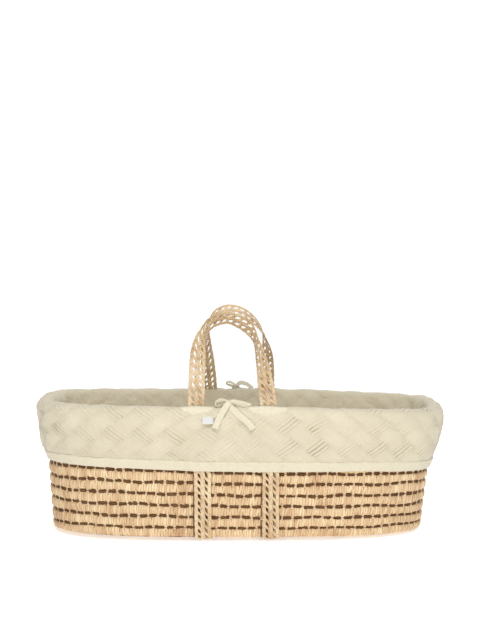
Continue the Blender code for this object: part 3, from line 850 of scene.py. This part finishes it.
def strap_loop(name, controls, side, lean, handle):
    """One loop of plaited palm: a strap up the wall, a handle, and a strap down again."""
    rows = resample(strap_stations(controls, side, lean), 0.0015)
    rows = resample(soften(rows, 8), STRAP_STEP)
    centre, face = rows[:, :3], unit(rows[:, 6:9])
    along = unit(np.gradient(centre, axis=0))
    across = square_to(unit(rows[:, 3:6]), along)
    side_face = np.cross(along, across)
    outward = -side * np.sign(np.sum(side_face * face, axis=1, keepdims=True))
    rows = np.hstack([centre, across, side_face * outward])
    grids = []
    for number, (points, folds) in enumerate(strap_strands(rows, walk(centre), side)):
        walked = walk(points.mean(1))[:, None]
        patch = 0.5 + 0.30 * np.sin(walked * 41 + number * 2.1) * np.sin(walked * 17 + number)
        # Painted shade, darkest at each fold of a strand.
        crease = STRAND_CREASE_SHADE * np.clip(folds / 0.14, 0.1, 1)
        leaf = stack(STRAND_SECTION[:, 0] * 0.003 + number, walked * 1.35, 0.0)
        grids.append((points, False, {"tone": patch, "crease": crease, "leaf": leaf}))
    strap = "strap_left" if side < 0 else "strap_right"
    made = add_grids(name, grids, "palm_braid", handle, strap, body=None)
    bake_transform(made)


# ---------------------------------------------------------------- padded liner

def dense_path(controls, spacing, fine, fine_above):
    """Rows of (offset, height, distance walked) along a smooth section, closer together up high."""
    curve = smooth_curve(controls, 24)
    walked = walk(curve)
    weight = 1 / np.where(curve[:, 1] > fine_above, fine, spacing)
    steps = np.concatenate([[0], np.cumsum((weight[1:] + weight[:-1]) / 2 * np.diff(walked))])
    at = np.linspace(0, steps[-1], int(round(steps[-1])) + 1)
    return stack(*(np.interp(at, steps, values) for values in (*curve.T, walked)))


def strap_bulge(shares):
    """How far the straps under the liner push it out, fading to nothing beside them."""
    x = outline(shares, RIM_SIZE)[0] * wall_size(HEM_TOP)[0]
    away = np.minimum(np.abs(x - LEFT_STRAP_X), np.abs(x - RIGHT_STRAP_X)) - STRAP_WIDTH / 2
    cover = np.clip(1 - away / 0.013, 0, 1)
    return cover * cover * (3 - 2 * cover) * STRAP_BULGE


def rib_crown(across):
    return 1 - 0.75 * (2 * np.abs(across)) ** 4


def plait_relief(along, up, left):
    """The knitted plait, from its place in pattern repeats: its height, from about 0 to 1, the
    place across the band that lies on top, and 1 where its ribs stand out. They stand out most on
    the bands that fall away from the basket's middle: left is 1 on its left half, 0 on its right."""
    rising, falling = along - up, along + up
    n, m = np.round(rising), np.round(falling)
    across_rising, across_falling = rising - n, falling - m
    over = rib_crown(across_rising) + 0.30 * np.cos(math.pi * (falling + n))
    under = rib_crown(across_falling) - 0.30 * np.cos(math.pi * (rising + m))
    across = np.where(over > under, across_rising, across_falling)
    ribbed = np.clip(np.abs(over - under) / 0.25, 0, 1) * np.clip((0.36 - np.abs(across)) / 0.10, 0, 1)
    ribbed = ribbed * (FAINT_RIBS + (1 - FAINT_RIBS) * np.where(over > under, left, 1 - left))
    corner = np.hypot(np.mod(rising, 1) - 0.5, np.mod(falling, 1) - 0.5)
    crease = 0.20 * np.exp(-((over - under) / 0.16) ** 2) + 0.16 * np.exp(-(corner / 0.10) ** 2)
    return np.maximum(over, under) - 0.30 - crease, across, ribbed


def quilt(shares, walked, start, rib_strength):
    """Relief, painted shade and ribs over the liner, for how far round it and how far up its section."""
    bend, sway, uneven, lumps, strength = (
        ripple(shares, walked, seed, wavelength)
        for seed, wavelength in ((5, 0.16), (6, 0.16), (7, 0.09), (8, 0.014), (9, 0.12)))
    left = np.clip(0.5 + 2 * np.sin(TURN * shares), 0, 1)
    up = (walked + start) / KNIT_HEIGHT + 0.055 * sway
    relief, rib, ribbed = plait_relief(shares * REPEATS + 0.055 * bend, up, left)
    relief = relief * (0.70 + 0.20 * uneven)
    ribbed = ribbed * rib_strength
    fine = (0.38 + 0.15 * strength) * ribbed * np.cos(TURN * RIBS * rib)
    # Painted shade: darker where the relief is low, and much darker in the rib grooves.
    shade = 0.34 + 0.50 * relief + 0.2 * fine + 1.8 * np.minimum(fine, 0)
    return relief + fine + 0.07 * lumps, shade, rib, ribbed


def slot_shape(shares):
    """How far open the slots for the handles are, 0 to 1, for each column round the rim."""
    c, s = outline(shares, RIM_SIZE)
    x = c * RIM_SIZE[0]
    opened = np.zeros_like(x)
    for side, low, high in SLOTS:
        inside = (np.sign(s) == side) & (x > low) & (x < high)
        share = np.clip((x - low) / (high - low), 0, 1)
        opened = np.where(inside, np.sin(math.pi * share) ** 0.55, opened)
    return opened


def open_slot(offset, height, opened):
    """Parts the padding at the slots and rounds their lips."""
    away = offset - SLOT_CENTRE
    parting = np.exp(-np.abs(away) / 0.006) * np.clip((height - 0.244) / 0.012, 0, 1)
    rounding = np.exp(-np.abs(away) / 0.0022) * np.clip((height - 0.256) / 0.004, 0, 1)
    parted = offset + np.sign(away) * SLOT_HALF_OPENING * opened * parting
    return parted, height - SLOT_LIP_DROP * opened * rounding


def puff(points, faces, pinned, pressure, growth, reach):
    """How far each point of a closed skin moves when it is filled: cloth under pressure, held where
    it is pinned."""
    if not facing_out(points, faces):
        faces = faces[:, ::-1]
    mesh = bpy.data.meshes.new("filling")
    mesh.from_pydata(points.tolist(), [], faces.tolist())
    piece = bpy.data.objects.new("filling", mesh)
    SCENE.collection.objects.link(piece)
    group = piece.vertex_groups.new(name="pinned")
    for weight in np.unique(pinned[pinned > 0]):
        group.add(np.flatnonzero(pinned == weight).tolist(), float(weight), "REPLACE")
    cloth = piece.modifiers.new("Cloth", "CLOTH")
    cloth.point_cache.frame_start = 1
    cloth.point_cache.frame_end = PUFF_FRAMES
    settings = {
        "quality": 4, "mass": 0.2, "tension_stiffness": 10, "compression_stiffness": 10,
        "shear_stiffness": 5, "bending_stiffness": 0.3, "air_damping": 2, "use_pressure": True,
        "uniform_pressure_force": pressure, "shrink_min": -growth, "vertex_group_mass": "pinned",
    }
    for key, value in settings.items():
        setattr(cloth.settings, key, value)
    cloth.settings.effector_weights.gravity = 0
    cloth.collision_settings.use_collision = False
    for step in range(1, PUFF_FRAMES + 1):
        SCENE.frame_set(step)
    shown = piece.evaluated_get(bpy.context.evaluated_depsgraph_get())
    moved = np.empty(len(points) * 3)
    shown.data.vertices.foreach_get("co", moved)
    moved = moved.reshape(-1, 3) - points
    size = np.linalg.norm(moved, axis=1, keepdims=True)
    bpy.data.objects.remove(piece)
    bpy.data.meshes.remove(mesh)
    SCENE.frame_set(1)
    return moved * np.minimum(1, reach / np.maximum(size, 1e-9))


def spread(moved, rows_from, rows_to, columns_to):
    """Carries a coarse ring grid's vectors over to a finer one."""
    wrapped = np.concatenate([moved, moved[:, :1]], axis=1)
    ends = np.arange(wrapped.shape[1]) / moved.shape[1]
    at = np.arange(columns_to) / columns_to
    made = []
    for values in np.moveaxis(wrapped, -1, 0):
        wide = np.stack([np.interp(at, ends, row) for row in values])
        made.append(np.stack([np.interp(rows_to, rows_from, column) for column in wide.T], -1))
    return np.stack(made, -1)


def filled_band(rows, hidden, columns, start):
    """How the shown face of a padded band puffs out between its seams and quilting."""
    coarse = rows[:: max(1, round(PUFF_SPACING / np.median(np.diff(rows[:, 2]))))]
    if coarse[-1, 2] < rows[-1, 2]:
        coarse = np.vstack([coarse, rows[-1]])
    shares = np.arange(PUFF_COLUMNS) / PUFF_COLUMNS
    section = np.vstack([coarse[:, :2], hidden])
    points = band_points(shares, section[:, :1], section[:, 1:])
    up = (coarse[:, 2:3] + start) / KNIT_HEIGHT
    along = shares * REPEATS
    corner = np.hypot(np.mod(along - up, 1) - 0.5, np.mod(along + up, 1) - 0.5)
    pinned = np.ones(points.shape[:2])
    pinned[1: len(coarse) - 1] = np.where(corner < HELD_REACH, 0.9, 0.0)[1:-1]
    faces = grid_faces(len(section), len(shares), True)
    moved = puff(points.reshape(-1, 3), faces, pinned.ravel(), pressure=3.0, growth=0.012, reach=0.0045)
    return spread(moved.reshape(points.shape)[: len(coarse)], coarse[:, 2], rows[:, 2], columns)


def padded_band(name, controls, hidden, columns, spacing, fine, start, slotted, *nodes):
    """A padded, knitted band all round the basket, with slots where the handles come through."""
    rows = dense_path(controls, spacing, fine, FINE_ABOVE)
    hidden = np.array(hidden)
    shares = np.arange(columns) / columns
    opened = slot_shape(shares) if slotted else np.zeros(columns)
    bulge = strap_bulge(shares)
    walked = rows[:, 2:3]

    def fitted(section, top, fade):
        """A section's offsets and heights round the basket, over its straps and at its slots."""
        offset, height = section[:, :1], section[:, 1:2]
        if slotted:
            offset = offset + bulge * np.clip((top - height) / fade, 0, 1) * (offset > 0)
        return open_slot(offset, height, opened)

    offset, height = fitted(rows, 0.200, 0.04)
    points = band_points(shares, offset, height)
    normals = grid_normals(points)
    if (np.sum(normals[-1, :, :2] * points[-1, :, :2]) < 0) == slotted:
        normals = -normals
    rib_strength = np.clip((rows[:, :1] + 0.006) / 0.010, INNER_RIBS, 1)
    relief, shade, rib, ribbed = quilt(shares, walked, start, rib_strength)
    ends = np.clip(np.minimum(walked, walked[-1] - walked) / 0.010, 0, 1) ** 0.7
    calm = 1 - np.clip(0.85 * opened + 0.45, 0, 0.9) * np.clip((height - 0.250) / 0.010, 0, 1)
    slack = 0.0016 * ripple(shares, walked, 21, 0.11)
    points = points + normals * ((relief * RELIEF_DEPTH + slack) * ends * calm)[..., None]
    points = points + filled_band(rows, hidden, columns, start) * calm[..., None]

    back = band_points(shares, *fitted(hidden, 0.186, 0.02))
    points = sag_liner(np.concatenate([points, back]), inside=not slotted)
    faces, caps = grid_faces(len(points), columns, True), []
    if slotted:
        faces, caps = cut_slots(faces, columns, opened, rows, hidden)

    def with_back(values, filler):
        return np.concatenate([values, np.full((len(hidden), values.shape[1]), filler)])

    values = {
        "cloth": stack(shares * RIM_GIRTH, with_back(walked, 0.0), 0.0),
        # The relief attribute carries the painted shade from quilt.
        "relief": with_back(shade, 0.5), "rib": with_back(rib, 0.0), "ribbed": with_back(ribbed, 0.0),
    }
    piece = add_mesh(name, points, faces, caps, values, "knit_fabric", nodes)


def cut_slots(faces, columns, opened, rows, hidden):
    """Opens the band right through at the slots, and closes the padding along their sides."""
    crosses = (rows[:-1, 0] < SLOT_CENTRE) & (rows[1:, 0] >= SLOT_CENTRE) & (rows[:-1, 1] > 0.255)
    crosses_back = (hidden[:-1, 0] > SLOT_CENTRE) & (hidden[1:, 0] <= SLOT_CENTRE)
    top = np.flatnonzero(crosses)[0]
    under = np.flatnonzero(crosses_back)[0] + len(rows)
    column = np.arange(columns)
    following = (column + 1) % columns
    is_open = (opened > 0) & (opened[following] > 0)
    row, place = faces[:, 0] // columns, faces[:, 0] % columns
    kept = faces[~(((row == top) | (row == under)) & is_open[place])]
    c, n = column[is_open], following[is_open]
    r1, r2, h1, h2 = (index * columns for index in (top, top + 1, under, under + 1))
    inner = np.stack([r1 + c, r1 + n, h2 + n, h2 + c], -1)
    outer = np.stack([r2 + n, r2 + c, h1 + c, h1 + n], -1)
    firsts = column[is_open & ~np.roll(is_open, 1)]
    lasts = following[is_open & ~np.roll(is_open, -1)]
    caps = [np.array([r2, r1, h2, h1]) + at for at in firsts]
    caps += [np.array([h1, h2, r1, r2]) + at for at in lasts]
    return np.vstack([kept, inner, outer]), caps


def liner():
    """The padded cover over the rim with its skirt, the padded inner wall, and the hem."""
    columns = 900
    spacing = 0.0024
    shown = [
        (-0.0128, 0.2040), (-0.0148, 0.2100), (-0.0156, 0.2300), (-0.0156, 0.2500),
        (-0.0143, 0.2592), (-0.0095, 0.2645), (-0.0020, 0.2660), (0.0058, 0.2652),
        (0.0104, 0.2608), (0.0117, 0.2530), (0.0108, 0.2325), (0.0098, 0.2050), (0.0088, 0.1835),
        (0.0068, 0.1680), (0.0048, 0.1580), (0.0042, 0.1555),
    ]
    hidden = [
        (0.0026, 0.1560), (0.0034, 0.1680), (0.0056, 0.1840), (0.0064, 0.2100), (0.0064, 0.2400),
        (0.0060, 0.2518), (0.0032, 0.2522), (0.0020, 0.2522), (-0.0060, 0.2522),
        (-0.0098, 0.2500), (-0.0100, 0.2300), (-0.0104, 0.2060),
    ]
    padded_band("quilted_cover", shown, hidden, columns, spacing, spacing * 0.6, 0.0, True,
                "liner_rim_roll", "liner_skirt")
    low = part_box("liner_wall")[0].z
    shown = [
        (-0.0120, low), (-0.0150, low + 0.006), (-0.0158, 0.06), (-0.0158, 0.12), (-0.0157, 0.19),
        (-0.0148, 0.2000), (-0.0126, 0.2046),
    ]
    hidden = [
        (-0.0104, 0.2050), (-0.0100, 0.190), (-0.0100, 0.110), (-0.0100, 0.030), (-0.0104, low),
    ]
    padded_band("quilted_inner_wall", shown, hidden, columns * 3 // 4, spacing * 1.2, spacing * 1.2,
                0.012, False, "liner_wall")
    hem()
    for number, (side, low, high) in enumerate(SLOTS):
        slot_lip(f"slot_lip_{number + 1}", side, low, high)


def hem():
    """The plain band along the skirt's lower edge, a little puckered where it is sewn on."""
    seam = HEM_TOP - 0.0020
    controls = [
        (0.0040, seam + 0.0012), (0.0060, seam - 0.0004), (0.0065, seam - 0.0030),
        (0.0054, seam - 0.0085), (0.0040, HEM_BASE + 0.0050), (0.0034, HEM_BASE + 0.0014),
        (0.0026, HEM_BASE + 0.0004),
    ]
    hidden = np.array([
        (0.0016, HEM_BASE + 0.0012, 0), (0.0020, HEM_BASE + 0.0060, 0), (0.0028, seam - 0.0060, 0),
        (0.0030, seam, 0),
    ])
    columns = 1200
    shares = np.arange(columns) / columns
    rows = dense_path(controls, 0.0013, 0.0013, 1.0)
    walked = rows[:, 2:3]
    pucker = 0.00045 * ripple(shares, walked * 0.15, 31, 0.011) * (0.35 + np.exp(-walked / 0.006))
    slack = 0.0005 * ripple(shares, walked, 32, 0.05)
    bulge = strap_bulge(shares)
    height = rows[:, 1:2] + 0.0004 * ripple(shares, 0, 33, 0.03)
    face = band_points(shares, rows[:, :1] + bulge + pucker + slack, height)
    back = band_points(shares, hidden[:, :1] + bulge, hidden[:, 1:2])
    points = sag_liner(np.concatenate([face, back]))
    cloth = stack(shares * RIM_GIRTH, np.vstack([rows, hidden])[:, 2:3], 0.0)
    add_grid("hem_band", points, cloth, "binding_fabric", "liner_hem", closed=True)


def slot_lip(name, side, low, high):
    """The bound outer lip of a slot: a band of plain cotton, full in the middle, thin at its ends."""
    share = np.linspace(0.004, 0.996, 56)[:, None]
    full = 0.9 * np.sin(math.pi * share) ** 0.62
    x = low - 0.001 + (high - low + 0.002) * share
    section = smooth_ring(np.array([
        (0.0070, -0.0105), (0.0068, -0.0040), (0.0076, 0.0008), (0.0102, 0.0028), (0.0134, 0.0012),
        (0.0154, -0.0040), (0.0160, -0.0100), (0.0152, -0.0150), (0.0132, -0.0170),
        (0.0112, -0.0164), (0.0106, -0.0090), (0.0100, -0.0030), (0.0086, -0.0050),
    ]), 3)
    middle_out, middle_up = 0.0112, -0.0006
    out = middle_out + (section[:, 0] - middle_out) * full
    offset = out + 0.0003 * np.sin(x * 520 + 1.3) * full
    height = RIM_TOP + (middle_up + (section[:, 1] - middle_up) * full)
    half_length, half_width = wall_size(height)
    along = np.abs(x) / (half_length + offset)
    y = side * (half_width + offset) * (1 - along**OVAL_POWER) ** (1 / OVAL_POWER)
    cloth = stack(x, np.arange(len(section)) * 0.0012, 0.0)
    node = "slot_binding_front" if side < 0 else "slot_binding_rear"
    add_grid(name, sag_liner(stack(x, y, height)), cloth, "binding_fabric", node)


# ---------------------------------------------------------------- bows and label

def ribbon(name, controls, width, thickness, slot, node, seed):
    """A ribbon along control rows of (place, direction of its width), on the basket."""
    rows = resample(smooth_curve(controls, 12), 0.0012)
    centre = rows[:, :3]
    along = unit(np.gradient(centre, axis=0))
    across = square_to(unit(rows[:, 3:6]), along)
    face = np.cross(along, across)[:, None]
    rng = np.random.default_rng(seed)
    side = np.linspace(-1, 1, 11)
    wave = 0.00035 * np.sin(rows[:, :1] * 420 + rng.uniform(0, 6)) * (side**2 - 0.4)
    fold = 0.00030 * np.sin(side * 4.5 + rng.uniform(0, 6))
    flat = side[:, None] * width / 2
    middle = centre[:, None] + across[:, None] * flat + face * (wave + fold)[..., None]
    half = face * (thickness / 2 * (1 + 0.35 * (np.abs(side) > 0.85)))[:, None]
    points = np.concatenate([middle + half, (middle - half)[:, ::-1]], axis=1)
    cloth = stack(np.concatenate([flat, flat[::-1]])[:, 0], walk(centre)[:, None], 0.0)
    add_grid(name, points, cloth, slot, node)


def bow(end, side, x):
    """A bow on the rim: two loops and two tails round a knot."""
    short, long = ("tie_left", "tie_right")[::-side]
    (short_across, short_loop), (long_across, long_loop) = BOW_LOOPS[end]
    pieces = (
        ("short_loop", short_loop, short_across, short),
        ("long_loop", long_loop, long_across, long),
        ("short_tail", SHORT_TAIL, (0.88, 0.0, -0.47), short),
        ("long_tail", LONG_TAIL, (0.74, 0.0, 0.67), long),
    )
    for number, (name, route, (across, outward, upward), node) in enumerate(pieces):
        rows = [(x + right, side * (BOW_Y + out), BOW_Z + up, across, side * outward, upward)
                for right, out, up in route]
        ribbon(f"bow_{name}_{end}", rows, TIE_WIDTH, TIE_THICKNESS, "binding_fabric",
               f"{node}_{end}", number + (10 if side > 0 else 0))
    knot(f"tie_knot_wrap_{end}", side, x, f"tie_knot_{end}")


def knot(name, side, x, node):
    """The small wrapped knot at a bow's middle."""
    up = np.linspace(-1, 1, 22)[:, None]
    turn = np.arange(28) / 28 * TURN
    girth = (1 - np.abs(up) ** 3.2 * 0.55) * (1 - 0.07 * np.cos(3 * turn + 2.2 * up))
    right = 0.0050 * girth * signed_power(np.cos(turn), 0.8) * (1 + 0.18 * up) - 0.0012 * up
    out = BOW_Y + 0.0070 + 0.0036 * girth * signed_power(np.sin(turn), 0.8)
    height = up * 0.0062 + 0.0018 * np.cos(turn) * (1 - up**2)
    points = stack(x + right, side * out, BOW_Z + 0.0010 + height)
    add_grid(name, points, stack(turn * 0.005, up * 0.0062, 0.0), "binding_fabric", node)


def label():
    """A blank woven label, folded over and sewn into the seam under the front slot's lip."""
    low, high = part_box("label")
    centre = (low + high) / 2
    half = (high.z - low.z) / 2
    section = [
        (-0.0024, half + 0.0014), (-0.0048, half * 0.4), (-0.0060, -half * 0.5),
        (-0.0062, -half + 0.0008), (-0.0054, -half), (-0.0047, -half + 0.0008),
        (-0.0045, -half * 0.5), (-0.0034, half * 0.4), (-0.0014, half + 0.0014),
    ]
    rows = [(centre.x, centre.y + out, centre.z + 0.0030 + up, 1, 0.0, 0.03) for out, up in section]
    ribbon("blank_label", rows, high.x - low.x, LABEL_THICKNESS, "label_tape", "label", 3)


# ---------------------------------------------------------------- mattress

def floor_oval(shares, size, inset, height):
    """Points round an oval inside the basket: inset from its half sizes, at a height."""
    return ring_points(outline(shares, size), size, -inset, height, INNER_LEAN)


def pad_rows(low, high, half_width):
    """(inset, height) rows over a pad from the middle of its top to the middle of its underside."""
    middle, half, count = (low + high) / 2, (high - low) / 2, 16
    inner = half_width - 0.004
    top = [(inner - (inner - PAD_EDGE) * i / count, high) for i in range(count)]
    side = []
    for i in range(15):
        angle = math.pi / 2 - math.pi * i / 14
        inset = PAD_EDGE * (1 - math.cos(angle) ** 0.7)
        side.append((inset, middle + half * signed_power(math.sin(angle), 0.6)))
    return np.array(top + side + [(inset, low) for inset, _ in reversed(top)])


def mattress():
    """The lift-out mattress: a foam pad, its fitted cotton sheet, and the sheet's elastic."""
    box_low, box_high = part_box("mattress_core")
    size, low = (box_high.x, box_high.y), box_low.z
    columns = 360
    shares = np.arange(columns) / columns
    rows = pad_rows(low + 0.0004, box_high.z - 0.0022, size[1])
    pad = floor_oval(shares, size, rows[:, :1] + 0.0020, rows[:, 1:])
    pinned = np.where(np.abs(pad[..., 2] - low) < 0.004, 1.0, 0.0).ravel()
    faces = grid_faces(len(rows), columns, False)
    moved = puff(pad.reshape(-1, 3), faces, pinned, pressure=2.0, growth=0.004, reach=0.0022)
    pad = pad + moved.reshape(pad.shape) * (0.5, 0.5, 1.0)
    foam_pad = add_grids("foam_pad", [(pad, False, {})], "foam", "mattress_core", body="mattress")
    fitted_sheet(size, low, rows, pad, shares)


def fitted_sheet(size, low, rows, pad, shares):
    """The sheet follows the pad over its top and sides, and is gathered under its edge."""
    covered = (rows[:, 0] <= GATHERED_WITHIN) | (rows[:, 1] >= low + 0.006)
    rows, pad = rows[covered], pad[covered]
    inset, height = rows[:, :1], rows[:, 1:]
    normals = grid_normals(pad)
    normals = normals * np.sign(normals[2, 0, 2])
    low_share = np.clip((low + 0.018 - height) / 0.016, 0, 1)
    gathers = 0.00035 * ripple(shares, walk(rows)[:, None] * 0.2, 51, 0.012) * low_share
    top_share = np.clip(inset / 0.03, 0, 1) * (height > low + 0.01)
    creases = 0.0005 * ripple(shares, inset, 52, 0.10) * top_share
    lift = (0.0004 + np.abs(gathers) + np.abs(creases))[..., None]
    outer, inner = pad + normals * (lift + SHEET_THICKNESS), pad + normals * lift
    points = np.concatenate([outer, inner[::-1]])
    sheet = add_grid("fitted_cotton_sheet", points, points, "sheet_cotton", "fitted_sheet",
                     body="mattress")
    edge = elastic(outer[-1], shares)


def elastic(edge, shares):
    """The gathered elastic along the opening under the sheet."""
    turn = np.arange(8)[:, None] / 8 * TURN
    inwards = -unit(edge * (1, 1, 0))
    puckers = 1 + 0.16 * np.sin(shares * TURN * 300)
    across = 0.0016 * signed_power(np.cos(turn), 0.7) * puckers
    up = 0.0006 * signed_power(np.sin(turn), 0.7) * puckers + 0.0004
    points = edge + inwards * (0.0022 + across)[..., None] + stack(0.0, 0.0, up)
    return add_grid("sheet_edge_elastic", points, stack(shares * 1.7, across, 0.0), "elastic",
                    "sheet_elastic", closed=True, body="mattress")


def lining_floor():
    """The plain cotton floor of the liner, sewn to the padded wall."""
    low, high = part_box("liner_floor")
    size = (high.x - 0.0004, high.y - 0.0004)
    shares = np.arange(240) / 240
    inset = np.linspace(size[1] - 0.004, 0.0, 34)[:, None]
    wave = 0.00022 * ripple(shares, inset, 61, 0.08) * np.clip(inset / 0.02, 0, 1)
    upper = floor_oval(shares, size, inset, high.z - 0.0004 + wave)
    lower = floor_oval(shares, size, inset[::-1], low.z + 0.0002 + wave[::-1])
    points = np.concatenate([upper, lower])
    floor = add_grid("lining_floor", points, points, "sheet_cotton", "liner_floor")


# ---------------------------------------------------------------- stage

def stage():
    """A pale floor, soft studio light, and the camera at eye level in front of the basket."""
    n = Nodes("floor", roughness=0.9, specular=0.1)
    away = n.add("VectorMath", {0: n.position()}, operation="LENGTH").outputs["Value"]
    near_glow, far_glow = 0.48, 0.7
    glow = n.math("MULTIPLY", n.math("SUBTRACT", away, 0.35), 0.7)
    glow = n.math("MINIMUM", n.math("MAXIMUM", glow, near_glow), far_glow)
    n.feed(n.shader, {"Base Color": (0.95, 0.95, 0.95, 1), "Emission Color": WHITE,
                      "Emission Strength": glow})
    bpy.ops.mesh.primitive_plane_add(size=30, location=(0, 0, -0.0002))
    floor = bpy.context.active_object
    floor.name = "floor"
    floor.data.materials.append(n.material)

    world = bpy.data.worlds.new("studio")
    SCENE.world = world
    world.use_nodes = True
    tree = world.node_tree
    light = tree.nodes["Background"]
    backdrop = tree.nodes.new("ShaderNodeBackground")
    for made, strength in ((light, 0.38), (backdrop, 1.1)):
        made.inputs["Color"].default_value = WHITE
        made.inputs["Strength"].default_value = strength
    chosen = tree.nodes.new("ShaderNodeMixShader")
    rays = tree.nodes.new("ShaderNodeLightPath")
    tree.links.new(rays.outputs["Is Camera Ray"], chosen.inputs["Fac"])
    tree.links.new(light.outputs["Background"], chosen.inputs[1])
    tree.links.new(backdrop.outputs["Background"], chosen.inputs[2])
    tree.links.new(chosen.outputs["Shader"], tree.nodes["World Output"].inputs["Surface"])
    lamp("key", (0.05, -1.65, 1.65), (0.0, 0.0, 0.15), 1.2, 26.5)
    lamp("top", (0.0, 0.6, 2.6), (0.0, 0.0, 0.2), 1.6, 12.0)
    lamp("rear", (0.5, 2.2, 1.5), (0.0, 0.0, 0.15), 1.6, 18.0)

    camera = bpy.data.objects.new("camera", bpy.data.cameras.new("camera"))
    SCENE.collection.objects.link(camera)
    camera.location = (0.0, -2.0, 0.4325)
    camera.rotation_euler = (math.radians(90), math.radians(0.12), 0)
    camera.data.lens = 52.5
    camera.data.sensor_width = 36
    SCENE.camera = camera
    SCENE.view_settings.view_transform = "Standard"


def lamp(name, place, target, size, power):
    light = bpy.data.lights.new(name, "AREA")
    light.shape = "DISK"
    light.size = size
    light.energy = power
    made = bpy.data.objects.new(name, light)
    made.location = place
    made.rotation_euler = (Vector(target) - Vector(place)).to_track_quat("-Z", "Y").to_euler()
    SCENE.collection.objects.link(made)


def finish_hidden_rows():
    """The coils under the skirt keep their CAD shape, in palm."""
    for row in range(SHOWN_ROWS + 1, ROW_COUNT + 1):
        for place in bpy.data.objects[f"wall_row_{row:02d}"].material_slots:
            place.link = "OBJECT"
            place.material = HIDDEN_PALM


# ---------------------------------------------------------------- build

stage()
palm_wall()
palm_base()
strap_loop("front_strap", FRONT_HANDLE, -1, FRONT_LEAN, "handle_front")
strap_loop("rear_strap", REAR_HANDLE, 1, REAR_LEAN, "handle_rear")
liner()
bow("front", -1, FRONT_BOW_X)
bow("rear", 1, REAR_BOW_X)
label()
mattress()
lining_floor()
finish_hidden_rows()
